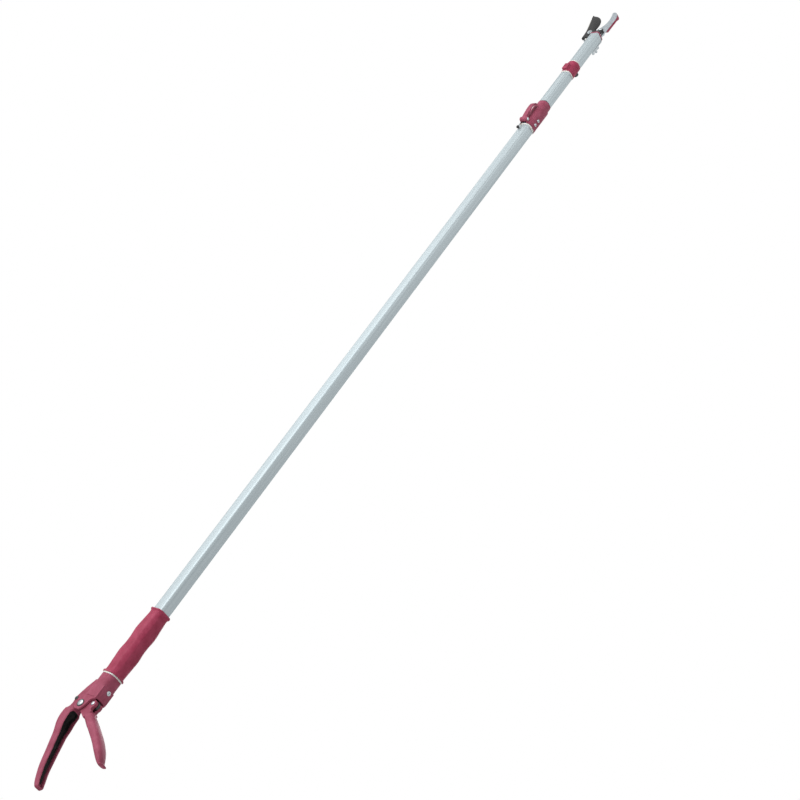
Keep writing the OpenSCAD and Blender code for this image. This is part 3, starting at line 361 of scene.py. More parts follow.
# Mesh work
def skin(bm, rings, closed=False):
    """Joins rings of points, one to the next; an open run is capped at both ends."""
    rows = [[bm.verts.new(point) for point in ring] for ring in rings]
    pairs = list(zip(rows, rows[1:]))
    if closed:
        pairs.append((rows[-1], rows[0]))
    else:
        bm.faces.new(list(reversed(rows[0])))
        bm.faces.new(rows[-1])
    for lower, upper in pairs:
        for i, corner in enumerate(lower):
            j = (i + 1) % len(lower)
            bm.faces.new((corner, lower[j], upper[j], upper[i]))


def made(bm, *finishes):
    """Closes a piece of mesh work: seams merged, faces outward, finishes on."""
    bmesh.ops.remove_doubles(bm, verts=bm.verts, dist=0.000001)
    bmesh.ops.recalc_face_normals(bm, faces=bm.faces)
    mesh = bpy.data.meshes.new("work")
    bm.to_mesh(mesh)
    bm.free()
    for material in finishes:
        mesh.materials.append(material)
    return mesh


def skinned(rings, material, closed=False):
    """One skin over rings of points as a mesh."""
    bm = bmesh.new()
    skin(bm, rings, closed)
    return made(bm, material)


def aimed(place, direction):
    """Local millimetres, with Z along a direction, to metres on the tool."""
    turn = Vector((0, 0, 1)).rotation_difference(Vector(direction)).to_matrix().to_4x4()
    return Matrix.Translation(Vector(place) * MM) @ turn @ Matrix.Scale(MM, 4)


def at_head(spot, depth):
    """Local millimetres at a spot of the head: X across, Y up the pole, Z out of the front."""
    forward = Matrix(((1, 0, 0, 0), (0, 0, -1, 0), (0, 1, 0, 0), (0, 0, 0, 1)))
    origin = Matrix.Translation(Vector((spot[0], -depth, TUBE_END + spot[1])) * MM)
    return origin @ forward @ Matrix.Scale(MM, 4)


def lathe(profile, place, material, sides=48, flats=None):
    """Lathe work from (radius, height) pairs; flats cuts it back to a hexagon of that width."""
    def reach(angle, radius):
        if flats is None:
            return radius
        return min(radius, flats / 2 / math.cos((angle + math.pi / 6) % (math.pi / 3) - math.pi / 6))
    angles = [2 * math.pi * i / sides for i in range(sides)]
    rings = []
    for radius, height in profile:
        rings.append([place @ Vector((reach(a, radius) * math.cos(a), reach(a, radius) * math.sin(a),
                                      height)) for a in angles])
    return skinned(rings, material)


def around(points, i):
    """Direction of a line of points at one of them, from its neighbours."""
    return points[min(i + 1, len(points) - 1)] - points[max(i - 1, 0)]


def run_of(points, steps=6):
    """A smooth run through the points."""
    result = []
    for i in range(len(points) - 1):
        p = [Vector(points[max(0, min(len(points) - 1, i + k))]) for k in (-1, 0, 1, 2)]
        bend = 2 * p[0] - 5 * p[1] + 4 * p[2] - p[3]
        twist = 3 * p[1] - p[0] - 3 * p[2] + p[3]
        for s in range(steps):
            t = s / steps
            result.append(0.5 * (2 * p[1] + (p[2] - p[0]) * t + bend * t ** 2 + twist * t ** 3))
    return result + [Vector(points[-1])]


def arc(centre, radius, start, end, steps=12):
    """Points along an arc, in degrees."""
    angles = [math.radians(start + (end - start) * i / steps) for i in range(steps + 1)]
    return [Vector(centre) + radius * Vector((math.cos(a), math.sin(a))) for a in angles]


def area(outline):
    """Signed area of an outline; positive runs anticlockwise."""
    return sum(a.x * b.y - b.x * a.y for a, b in zip(outline, outline[1:] + outline[:1])) / 2


def settled(obj):
    """An object's evaluated shape as a plain mesh; the object itself goes."""
    bpy.context.view_layer.update()
    shape = obj.evaluated_get(bpy.context.evaluated_depsgraph_get())
    mesh = bpy.data.meshes.new_from_object(shape)
    bpy.data.objects.remove(obj)
    return mesh


def pressed(outlines, place, thick, edge, material, steps=2):
    """Sheet or slab cut to an outline, with holes, and its edges rounded; place is its back face."""
    drawing = bpy.data.curves.new("outline", "CURVE")
    drawing.dimensions = "2D"
    drawing.fill_mode = "BOTH"
    drawing.extrude = thick / 2 - edge
    drawing.bevel_depth = edge
    drawing.bevel_resolution = steps
    drawing.offset = -edge
    for index, outline in enumerate(outlines):
        points = [Vector(p[:2]) for p in outline]
        if (area(points) > 0) != (index == 0):
            points.reverse()
        spline = drawing.splines.new("POLY")
        spline.points.add(len(points) - 1)
        spline.use_cyclic_u = True
        for point, at in zip(spline.points, points):
            point.co = (at.x, at.y, 0, 1)
    obj = bpy.data.objects.new("outline", drawing)
    scene.collection.objects.link(obj)
    mesh = settled(obj)
    mesh.transform(place @ Matrix.Translation((0, 0, thick / 2)))
    bm = bmesh.new()
    bm.from_mesh(mesh)
    return made(bm, material)


def modified(mesh, *steps):
    """Runs modifiers, each a kind with its settings, and returns the plain mesh."""
    obj = bpy.data.objects.new(mesh.name, mesh)
    scene.collection.objects.link(obj)
    for kind, settings in steps:
        modifier = obj.modifiers.new(kind, kind)
        for key, value in settings.items():
            setattr(modifier, key, value)
    return settled(obj)


def welded(node):
    """A copy of a CAD node's mesh with its triangles merged into one skin."""
    bm = bmesh.new()
    bm.from_mesh(nodes[node].data)
    bmesh.ops.remove_doubles(bm, verts=bm.verts, dist=0.00001)
    mesh = bpy.data.meshes.new(node)
    bm.to_mesh(mesh)
    bm.free()
    return mesh


def dressed(mesh, material):
    """The same mesh with one finish all over."""
    mesh.materials.clear()
    mesh.materials.append(material)
    return mesh


def softened(mesh, cell, passes, material):
    """A form as it leaves a mould or a casting die: one skin of small cells with its edges rounded."""
    return dressed(modified(mesh, ("REMESH", {"mode": "VOXEL", "voxel_size": cell * MM}),
                            ("SMOOTH", {"factor": 0.5, "iterations": passes})), material)


def moulded(node, cell, passes, material):
    """A CAD solid as a moulding."""
    return softened(welded(node), cell, passes, material)


def cut(mesh, cutter):
    """Takes one mesh out of another."""
    tool = bpy.data.objects.new("cutter", cutter)
    scene.collection.objects.link(tool)
    result = modified(mesh, ("BOOLEAN", {"operation": "DIFFERENCE", "object": tool, "solver": "EXACT"}))
    bpy.data.objects.remove(tool)
    return result


def joined(*meshes):
    """Several meshes as one, each with its own finish."""
    bm = bmesh.new()
    finishes = []
    for mesh in meshes:
        first = len(bm.faces)
        bm.from_mesh(mesh)
        bm.faces.ensure_lookup_table()
        for face in bm.faces[first:]:
            material = mesh.materials[face.material_index]
            if material not in finishes:
                finishes.append(material)
            face.material_index = finishes.index(material)
    whole = bpy.data.meshes.new("whole")
    bm.to_mesh(whole)
    bm.free()
    for material in finishes:
        whole.materials.append(material)
    return whole


def piece(name, mesh, body, slot, *covered, crease=35):
    """Puts a finished mesh on a body, in place of the CAD nodes it stands for."""
    mesh.name = name
    obj = bpy.data.objects.new(name, mesh)
    scene.collection.objects.link(obj)
    mesh.shade_smooth()
    mesh.set_sharp_from_angle(angle=math.radians(crease))
    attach(obj, body)
    if covered:
        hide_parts(*covered)
    return obj


# Geometry trees
def geometry_tree(name, inputs):
    """An empty tree with named inputs; returns it and its inputs' sockets."""
    tree = bpy.data.node_groups.new(name, "GeometryNodeTree")
    tree.interface.new_socket("Start", in_out="INPUT", socket_type="NodeSocketGeometry")
    for label, kind in inputs.items():
        tree.interface.new_socket(label, in_out="INPUT", socket_type="NodeSocket" + kind)
    tree.interface.new_socket("Mesh", in_out="OUTPUT", socket_type="NodeSocketGeometry")
    return tree, add(tree, "NodeGroupInput").outputs


def end_tree(tree, shape, material):
    """Makes the instances real, puts the finish on and ends the tree."""
    real = add(tree, "GeometryNodeRealizeInstances", {"Geometry": shape})
    coated = add(tree, "GeometryNodeSetMaterial", {"Geometry": real.outputs[0], "Material": material})
    add(tree, "NodeGroupOutput", {"Mesh": coated.outputs[0]})


def winding_tree():
    """Wire wound round an axis: springs, and the ridges of a screw thread."""
    tree, given = geometry_tree("winding", {"Turns": "Float", "Radius": "Float", "Height": "Float",
                                            "Wire": "Float", "Finish": "Material"})
    spiral = add(tree, "GeometryNodeCurveSpiral", {"Resolution": 28, "Rotations": given["Turns"],
                                                   "Start Radius": given["Radius"],
                                                   "End Radius": given["Radius"], "Height": given["Height"]})
    round_wire = add(tree, "GeometryNodeCurvePrimitiveCircle", {"Resolution": 10, "Radius": given["Wire"]})
    wire = add(tree, "GeometryNodeCurveToMesh", {"Curve": spiral.outputs[0],
                                                 "Profile Curve": round_wire.outputs[0], "Fill Caps": True})
    end_tree(tree, wire.outputs[0], given["Finish"])
    return tree


def spots_tree():
    """One shape set on every point of the start mesh, all turned the same way: the heads of screws."""
    tree, given = geometry_tree("spots", {"Shape": "Object", "Facing": "Rotation", "Finish": "Material"})
    shape = add(tree, "GeometryNodeObjectInfo", {"Object": given["Shape"], "As Instance": True})
    placed = add(tree, "GeometryNodeInstanceOnPoints", {"Points": given["Start"],
                                                        "Rotation": given["Facing"],
                                                        "Instance": shape.outputs["Geometry"]})
    end_tree(tree, placed.outputs[0], given["Finish"])
    return tree


def rack_tree():
    """One shape set at even steps along the start mesh's line, square to it: the ribs of the jaw."""
    tree, given = geometry_tree("rack", {"Shape": "Object", "Count": "Int", "Finish": "Material"})
    line = add(tree, "GeometryNodeMeshToCurve", {"Mesh": given["Start"]})
    even = add(tree, "GeometryNodeResampleCurve", {"Curve": line.outputs[0], "Count": given["Count"]})
    shape = add(tree, "GeometryNodeObjectInfo", {"Object": given["Shape"], "As Instance": True})
    heading = add(tree, "GeometryNodeInputTangent")
    turn = add(tree, "FunctionNodeAlignRotationToVector", {"Vector": heading.outputs[0]},
               axis="X", pivot_axis="Y")
    placed = add(tree, "GeometryNodeInstanceOnPoints", {"Points": even.outputs[0],
                                                        "Rotation": turn.outputs[0],
                                                        "Instance": shape.outputs["Geometry"]})
    end_tree(tree, placed.outputs[0], given["Finish"])
    return tree


WINDING = winding_tree()
SPOTS = spots_tree()
RACK = rack_tree()


def grown(tree, values, points=(), edges=(), shape=None):
    """Runs a tree over a start mesh of points and edges and returns the plain mesh."""
    start = bpy.data.meshes.new("start")
    start.from_pydata([tuple(Vector(p) * MM) for p in points], edges, [])
    holder = bpy.data.objects.new("start", start)
    scene.collection.objects.link(holder)
    modifier = holder.modifiers.new("tree", "NODES")
    modifier.node_group = tree
    keys = {item.name: item.identifier for item in tree.interface.items_tree if item.in_out == "INPUT"}
    for label, value in values.items():
        modifier[keys[label]] = value
    pattern = None
    if shape is not None:
        pattern = bpy.data.objects.new("shape", shape)
        scene.collection.objects.link(pattern)
        modifier[keys["Shape"]] = pattern
    mesh = settled(holder)
    if pattern is not None:
        bpy.data.objects.remove(pattern)
    return mesh


def wound(turns, radius, height, wire, place, material):
    """A winding in millimetres, set in its place."""
    mesh = grown(WINDING, {"Turns": float(turns), "Radius": radius, "Height": height, "Wire": wire,
                           "Finish": material})
    mesh.transform(place)
    return mesh


def profile_of(radius, height, *shares):
    """A turned head's profile from shares of its radius and height."""
    return [(radius * across, height * up) for across, up in shares]


def domed(radius, height):
    """Profile of a low domed head."""
    return profile_of(radius, height, (0.96, 0), (1, 0.15), (0.98, 0.45), (0.84, 0.75), (0.55, 0.94),
                      (0.15, 1))


def hex_profile(flats, height):
    """Profile of a hexagon's corners turned off at both ends."""
    corner = flats / 2 / math.cos(math.pi / 6)
    end = flats / 2 * 0.96
    drop = (corner - end) * 0.5
    return [(end, 0), (corner, drop), (corner, height - drop), (end, height)]


def hexagon(flats, height, place):
    """A nut or a bolt's head."""
    return lathe(hex_profile(flats, height), place, ZINC, 72, flats)


def cross_screw(radius, height, material, slot=0.3):
    """A pan-head screw's head with a cross recess, in metres, seat at the origin, facing +Z."""
    small = Matrix.Scale(MM, 4)
    pan = profile_of(radius, height, (0.96, 0), (1, 0.12), (1, 0.42), (0.94, 0.66), (0.78, 0.86),
                     (0.5, 0.97), (0.16, 1))
    head = lathe(pan, small, material, 40)
    for along in (0, 1):
        rings = []
        for level, grow in ((0.36, 0.62), (1.2, 1.0)):
            half = (radius * 0.62 * grow, radius * slot / 2 * grow)
            rings.append([small @ Vector((a * half[along], b * half[1 - along], level * height))
                          for a, b in ((-1, -1), (1, -1), (1, 1), (-1, 1))])
        head = cut(head, skinned(rings, material))
    return head


def screws(radius, height, places, direction, material):
    """A set of cross-head screws that face one way."""
    facing = Vector((0, 0, 1)).rotation_difference(Vector(direction)).to_euler()
    return grown(SPOTS, {"Facing": facing, "Finish": material}, places,
                 shape=cross_screw(radius, height, material))


# Tubes
def square_ring(width, corner, z, grooves=()):
    """Points round a square tube with rounded corners; grooves are dips in its front and back faces."""
    inset = width / 2 - corner
    ring = []
    for quarter, (sx, sy) in enumerate(((1, 1), (-1, 1), (-1, -1), (1, -1))):
        ring += [Vector((sx * inset, sy * inset, 0)) + corner * Vector((math.cos(a), math.sin(a), 0))
                 for a in (math.radians(90 * quarter + 90 * i / 8) for i in range(9))]
        if quarter in (0, 2):
            for offset, half in grooves:
                for i in range(7):
                    a = math.pi * i / 6
                    dip = half * math.sin(a)
                    ring.append(sy * Vector((offset + half * math.cos(a), width / 2 - dip, 0)))
    return [Vector((p.x, p.y, z)) * MM for p in ring]


def square_tube(node, corner, wall, grooves=()):
    """A drawn square tube, its ends lightly broken."""
    low, high = box_mm(node)
    width = high.x - low.x
    broken = 0.3
    rings = []
    for inner, z in ((broken, low.z), (0, low.z + broken), (0, high.z - broken), (broken, high.z)):
        rings.append(square_ring(width - 2 * inner, corner - inner, z, grooves))
    flush = [(offset, 0.001) for offset, _ in grooves]
    for z in (high.z, low.z):
        rings.append(square_ring(width - 2 * wall, corner - wall, z, flush))
    return skinned(rings, ALUMINIUM, closed=True)


GROOVES = ((5, 0.45), (-5, 0.45))
piece("main_tube", square_tube("outer_tube", 5, 0.8), "pole", "tube", "outer_tube")
piece("sliding_tube", square_tube("inner_tube", 4, 1.2, GROOVES), "slider", "tube", "inner_tube")

# Hand sleeve and handle housing
SLEEVE_SWELLS = [(0, 1.2), (0.014, 1.2), (0.035, -0.9), (0.09, -1), (0.2, -0.2), (0.33, 0.55),
                 (0.44, -0.55), (0.54, -0.5), (0.67, 0.65), (0.8, -0.5), (0.92, -1.7), (0.965, -1.5),
                 (0.986, 0.3), (1, 0.3)]


def hand_sleeve():
    """The moulded sleeve: soft swells between two flared lips, tight on the square tube."""
    low, high = box_mm("sleeve_grip")
    length = high.z - low.z
    sleeve_r = high.x - SLEEVE_SWELLS[0][1]
    seat = square_ring(*MAIN_BORE, 0)
    rings = [[Vector((p.x, p.y, low.z * MM)) for p in seat]]
    for share, swell in run_of(SLEEVE_SWELLS, 8):
        radius = (sleeve_r + swell) * MM
        lift = Vector((0, 0, (low.z + share * length) * MM))
        rings.append([Vector((p.x, p.y, 0)).normalized() * radius + lift for p in seat])
    rings.append([Vector((p.x, p.y, high.z * MM)) for p in seat])
    return modified(skinned(rings, CRIMSON, closed=True),
                    ("BEVEL", {"width": 0.5 * MM, "segments": 2, "limit_method": "ANGLE",
                               "angle_limit": math.radians(50)}))


piece("hand_sleeve", hand_sleeve(), "pole", "maroon", "sleeve_grip")
piece("sleeve_ring", moulded("nylon_ring", 0.4, 2, NYLON), "pole", "nylon", "nylon_ring")
piece("housing", moulded("handle_housing", 0.6, 5, MAROON), "pole", "maroon", "handle_housing", crease=60)


# Back grip and squeeze lever
def bar(material, line, widths, wall=0.0, power=3.0, open_by=None, opens=-1, sides=56):
    """A curved bar, rounded like a moulding. The line has (across, up, half depth) points in millimetres
    from the lever's pin, and widths gives its half width at each height. A wall draws it in, and open_by
    lets it break out on one side, to the left of its run where opens is 1."""
    path = run_of(line)
    rings = []
    for i, p in enumerate(path):
        ahead = around(path, i).xy.normalized()
        near = p.z - wall
        far = near if open_by is None else p.z + open_by
        rings.append((p.xy, Vector((-ahead.y, ahead.x)), widths(p.y) - wall, near, far, ahead))

    def round_end(ring, step):
        at, out, half, near, far, ahead = ring
        reach = min(near, half) * step
        ends = []
        for k in range(1, 6):
            a = math.radians(17 * k)
            ends.append((at + ahead * reach * math.sin(a), out, half * (0.25 + 0.75 * math.cos(a)),
                         near * math.cos(a), far if open_by else far * math.cos(a), ahead))
        return ends

    rows = []
    for at, out, half, near, far, ahead in round_end(rings[0], -1)[::-1] + rings + round_end(rings[-1], 1):
        row = []
        for k in range(sides):
            a = 2 * math.pi * k / sides
            u = math.copysign(abs(math.cos(a)) ** (2 / power), math.cos(a)) * half
            v = math.copysign(abs(math.sin(a)) ** (2 / power), math.sin(a))
            v *= far if v * opens > 0 else near
            spot = at + out * v
            row.append(Vector((spot.x, u, spot.y + LEVER_PIN.z)) * MM)
        rows.append(row)
    return skinned(rows, material)


GRIP_LINE = [(24.5, 9, 6), (27.4, -12, 9), (27.2, -29, 9.9), (21.8, -46, 8.2), (15.8, -63, 7.5),
             (7.5, -86, 7), (-1.5, -110, 6.3), (-12, -129, 5.4), (-17.5, -136.8, 4.6)]
GRIP_WIDTHS = [(14, 8.6), (-9, 8.6), (-16, 12.6), (-38, 12.6), (-58, 10), (-90, 9), (-128, 8), (-144, 6.4)]
CHANNEL_LINE = [(24.6, -18, 8.7)] + GRIP_LINE[2:]
GRIP_WALL = 2.2
LINING = 1.4
LINING_DROP = 8
LEVER_LINE = [(0, 0, 8), (-23.6, -11, 8), (-49, -25.8, 8.3), (-76, -41.8, 8), (-95, -55.4, 7.2),
              (-108.6, -67, 5.2), (-116.5, -73.2, 2.8), (-121, -72.8, 1.9)]
LEVER_HALF = 11
LEVER_NECK = 8.5
LEVER_WALL = 2.6
BEYOND_HUB = ((-25, 0, -12), (-0.87, 0, -0.49))


def grip_half(height):
    """Half width of the back grip at a height from the lever's pin."""
    for (top, wide), (low, narrow) in zip(GRIP_WIDTHS, GRIP_WIDTHS[1:]):
        if height >= low:
            share = max(0, min(1, (top - height) / (top - low)))
            share = share * share * (3 - 2 * share)
            return wide + (narrow - wide) * share
    return GRIP_WIDTHS[-1][1]


def lever_half(height):
    """Half width of the squeeze lever: slim between the cheeks, broad in the hand, narrower at its toe."""
    if height > -24:
        return LEVER_NECK + (LEVER_HALF - LEVER_NECK) * max(0, min(1, (-11 - height) / 13))
    return LEVER_HALF - max(0, -58 - height) * 0.22


def back_grip():
    """The fixed grip: a rounded back, a knuckle under the joint and a deep channel on the lever's side."""
    form = bar(MAROON, GRIP_LINE, grip_half, power=5)
    channel = bar(MAROON, CHANNEL_LINE, grip_half, GRIP_WALL, 4, open_by=5)
    return softened(cut(form, channel), 0.5, 3, MAROON)


def grip_lining():
    """The soft black lining, which covers the channel's floor and walls and stops short of the rim."""
    form = bar(RUBBER, CHANNEL_LINE, grip_half, GRIP_WALL + 0.1, 4, open_by=-LINING_DROP)
    hollow = bar(RUBBER, CHANNEL_LINE, grip_half, GRIP_WALL + LINING, 4, open_by=5)
    return softened(cut(form, hollow), 0.4, 2, RUBBER)


def squeeze_lever():
    """The lever: a broad rounded face, hollow behind, with a curled toe; its hub holds the rod's pin."""
    line = [(x + LEVER_PIN.x, z, half) for x, z, half in LEVER_LINE]
    form = bar(MAROON, line[1:], lever_half, power=2.5)
    hollow = bar(MAROON, line[2:6], lever_half, LEVER_WALL, 4, open_by=5, opens=1)
    place, away = BEYOND_HUB
    beyond = aimed(LEVER_PIN + Vector(place), away)
    block = [[beyond @ Vector((a, b, c)) for a, b in ((-40, -40), (40, -40), (40, 40), (-40, 40))]
             for c in (0, 160)]
    hub = cut(dressed(welded("trigger_lever"), MAROON), skinned(block, MAROON))
    return softened(joined(hub, cut(form, hollow)), 0.5, 4, MAROON)


piece("back_grip", back_grip(), "pole", "maroon", "fixed_grip", crease=60)
piece("grip_lining", grip_lining(), "pole", "liner", "grip_liner", crease=60)
piece("squeeze_lever", squeeze_lever(), "lever", "maroon", "trigger_lever", crease=60)

# Screw and pins of the handle
SCREW_SEAT = 1.6
low, high = box_mm("housing_screw")
seat = middle("housing_screw")
seat.x = low.x + SCREW_SEAT
housing_head = screws((high.z - low.z) / 2, SCREW_SEAT, [seat], (-1, 0, 0), ZINC)
piece("housing_screw_head", housing_head, "pole", "zinc", "housing_screw")


def cross_pin(node, radius, heads, material=ZINC, axis=1, short=0.3):
    """A pin along an axis with a domed head, (radius, height), at one end or at both."""
    low, high = box_mm(node)
    ends = {1: high[axis], -1: low[axis]}
    at = middle(node)
    at[axis] = 0
    way = Vector((0, 0, 0))
    way[axis] = 1
    parts = [lathe([(radius, ends[-1] + short), (radius, ends[1] - short)], aimed(at, way), material, 32)]
    for side, (head_r, head_h) in heads.items():
        seat = aimed(at + way * (ends[side] - side * head_h), way * side)
        parts.append(lathe(domed(head_r, head_h), seat, material, 40))
    return joined(*parts)


LEVER_HEAD = 2
LEVER_NUT = 9.6
high = box_mm("lever_pivot_pin")[1]
# Painted shade: a black disc under the lever pin's head that darkens the shade round the pin
pin_shade_disc = lathe([(6.2, 0), (6.6, 0.15), (6.6, 0.5), (6.3, 0.7), (4, 0.7)],
               aimed((LEVER_PIN.x, high.y - LEVER_HEAD, LEVER_PIN.z), (0, 1, 0)), BLACK, 56)
lever_pin = cross_pin("lever_pivot_pin", 3, {1: (5.1, LEVER_HEAD)})
piece("lever_pin", joined(lever_pin, pin_shade_disc), "pole", "zinc", "lever_pivot_pin")
piece("rivet", cross_pin("grip_rivet", 2, {1: (3.4, 1.2), -1: (3.4, 1.2)}, BLACK),
      "pole", "black_plastic", "grip_rivet")
piece("rod_link_pin", cross_pin("link_pin", 2, {1: (3.6, 1.4), -1: (3.6, 1.4)}), "lever", "zinc", "link_pin")
low, high = box_mm("lever_pivot_nut")
piece("lever_nut", hexagon(LEVER_NUT, high.y - low.y,
                           aimed((LEVER_PIN.x, high.y, LEVER_PIN.z), (0, -1, 0))),
      "pole", "zinc", "lever_pivot_nut")

# Return spring in the tube
RETURN_WIRE = 0.7
low, high = box_mm("return_spring")
coil = wound(9, (high.x - low.x) / 2 - RETURN_WIRE, high.z - low.z - 2 * RETURN_WIRE,
             RETURN_WIRE, aimed((0, 0, low.z + RETURN_WIRE), (0, 0, 1)), WIRE)
return_coil = piece("return_coil", coil, "pole", "stainless", "return_spring")
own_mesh(return_coil)

# Clamp
piece("clamp_sleeve", moulded("clamp_body", 0.6, 4, MAROON), "pole", "maroon", "clamp_body", crease=60)
piece("flip_lever", moulded("clamp_lever", 0.4, 5, MAROON), "clamp_flip_lever", "maroon", "clamp_lever",
      crease=60)


def sleeved(material, *sections):
    """A ring round a square tube from (width, corner radius, height) sections, in millimetres."""
    return skinned([square_ring(*section) for section in sections], material, closed=True)


def nylon_ring(bore, wide, corner, low, high):
    """A ring on a square tube with its outer edges rounded, all in millimetres."""
    soft = 0.5
    return sleeved(NYLON, (*bore, low), (wide - 2 * soft, corner - soft, low), (wide, corner, low + soft),
                   (wide, corner, high - soft), (wide - 2 * soft, corner - soft, high), (*bore, high))


low, high = box_mm("clamp_ring")
piece("clamp_foot_ring", nylon_ring(MAIN_BORE, high.x - low.x, 12, low.z, high.z), "pole", "nylon",
      "clamp_ring")

CLAMP_SCREW_R = 3.2
low, high = box_mm("clamp_screws")
seats = [(low.x + SCREW_SEAT, 0, z) for z in (low.z + CLAMP_SCREW_R, high.z - CLAMP_SCREW_R)]
piece("clamp_screw_heads", screws(CLAMP_SCREW_R, SCREW_SEAT, seats, (-1, 0, 0), ZINC), "pole", "zinc",
      "clamp_screws")
piece("flip_pin", cross_pin("clamp_pin", 2, {1: (3.2, 1.2), -1: (3.2, 1.2)}, axis=0, short=0.2),
      "pole", "zinc", "clamp_pin")

low, high = box_mm("clamp_knob")
knob_foot = middle("clamp_knob")
knob_foot.z = low.z
knob_foot = aimed(knob_foot, (0, 0, 1))
knob = lathe([(0.6, 0), (1.9, 0.2), (2.6, 0.9), (2.8, 1.6), (2.8, 3.8), (2.3, 4.7), (1.3, 5)],
             knob_foot, BLACK, 48)
stem = lathe([(1.3, 4.9), (1.3, high.z - low.z)], knob_foot, ZINC, 32)
piece("tension_knob", joined(knob, stem), "pole", "black_plastic", "clamp_knob")

# Painted shade: a black ring on the clamp's top, round the sliding tube, that draws the dark shade line
# where the clamp meets the tube
CLAMP_TOP_SHADE_RING = ((21.6, 4.4, -0.6), (24.6, 9.8, -0.6), (24.6, 9.8, 0.9), (23.8, 9.4, 1.4), (21.6, 4.4, 1.4))
clamp_top = box_mm("clamp_body")[1].z
wiper = sleeved(BLACK, *((width, corner, clamp_top + rise) for width, corner, rise in CLAMP_TOP_SHADE_RING))
piece("wiper", wiper, "pole", "black_plastic")

# Stop collar on the sliding tube
piece("collar", moulded("stop_collar", 0.5, 4, CRIMSON), "slider", "maroon", "stop_collar", crease=60)
low, high = box_mm("collar_rings")
collar_low, collar_high = box_mm("stop_collar")
end_rings = [nylon_ring(SLIDE_BORE, high.x - low.x, 10.3, foot, top)
             for foot, top in ((low.z, collar_low.z), (collar_high.z, high.z))]
piece("collar_end_rings", joined(*end_rings), "slider", "nylon", "collar_rings")

KNOB_LONG = 6.9
low = box_mm("collar_screw")[0]
knob = lathe([(5, 0), (5.4, 0.4), (5.4, 4.2), (5, 5.6), (3.8, 6.6), (0.6, KNOB_LONG)],
             aimed((0, low.y + KNOB_LONG, middle("collar_screw").z), (0, -1, 0)), BLACK, 64)
piece("collar_knob", knob, "slider", "black_plastic", "collar_screw")

# Head: plug, hook plate and pad
piece("tube_plug", moulded("end_plug", 0.45, 3, MAROON), "slider", "maroon", "end_plug", crease=60)

HOOK_BACK = [(-8, 12), (-8, 30), (-8.2, 50), (-8.6, 66), (-6.4, 79), (-2.4, 85.6), (2, 89.6), (6.2, 91)]
HOOK_TIP = [(8.6, 90.2), (9.4, 88)]
HOOK_MOUTH = [(8.3, 84), (6.2, 75.6), (4.9, 66), (5.4, 55.8), (7.3, 48.5), (10.4, 42.4), (15, 36.4),
              (20.4, 31.6)]
HOOK_SHANK = [(17.6, 3.2), (12, 1), (8, 0.6), (8, -27)]
BOSS_R = 11
SLOT_R = 25
SLOT_HALF = 3.3
SLOT_FROM = 164
SLOT_TO = 207
DISH = [(9, -0.3), (9, 0.3), (8.4, 0.9), (7.6, 1.3), (6.8, 1.5), (6.2, 1.9), (5, 2.2), (3.2, 2.2)]


def hook_plate():
    """The pressed hook: shank, boss and curved jaw in one blank, with the slot for the blade's tail pin."""
    outline = [(-8, -27)] + run_of(HOOK_BACK) + run_of([HOOK_BACK[-1]] + HOOK_TIP)[1:]
    outline += run_of(HOOK_MOUTH) + arc(PIVOT, BOSS_R, 88, -100, 30) + HOOK_SHANK
    slot = []
    for reach, start, end, turn in ((SLOT_R + SLOT_HALF, SLOT_FROM, SLOT_TO, SLOT_TO),
                                    (SLOT_R - SLOT_HALF, SLOT_TO, SLOT_FROM, SLOT_FROM + 180)):
        slot += arc(PIVOT, reach, start, end)
        slot += arc(arc(PIVOT, SLOT_R, end, end)[0], SLOT_HALF, turn, turn + 180)[1:-1]
    blank = pressed([outline, slot], at_head((0, 0), PLATE_BACK), PLATE_FRONT - PLATE_BACK, 0.35, HOOK)
    return joined(blank, lathe(DISH, at_head(PIVOT, PLATE_FRONT), HOOK, 64))


piece("hook_plate", hook_plate(), "slider", "hook_steel", "head_plate")

PAD_FOOT = 29.5
PAD_BACK = [(-8.6, PAD_FOOT), (-8.6, 50), (-9, 66), (-6.8, 79.4), (-2.8, 86), (1.6, 89.8)]
PAD_MOUTH = [(7.2, 87.6), (6.9, 83), (5, 75.6), (3.8, 66), (4.3, 55.6), (6.1, 48), (9.2, 41.6), (13.2, 35.6),
             (14.2, PAD_FOOT)]
RIB_BACK = [(2.6, 86.4), (1.4, 76), (-0.4, 66), (-0.6, 56), (1.4, 47), (4.8, 39), (8.6, PAD_FOOT)]
RIM_INSIDE = [(-7, 67), (-4.6, 77.4), (-0.6, 84), (2.6, 86.4)]
RIM_FOOT = 66
RIM_FULL = 79
RIM_SIDE = -3.5
TIP_FALL = 81
PAD_HOLES = [(-2, 68), (-2.2, 37)]
CUP = [(4.9, 0), (4.9, 4.2), (4.75, 4.55), (4.45, 4.6), (4.0, 3.8), (3.9, 2.6)]


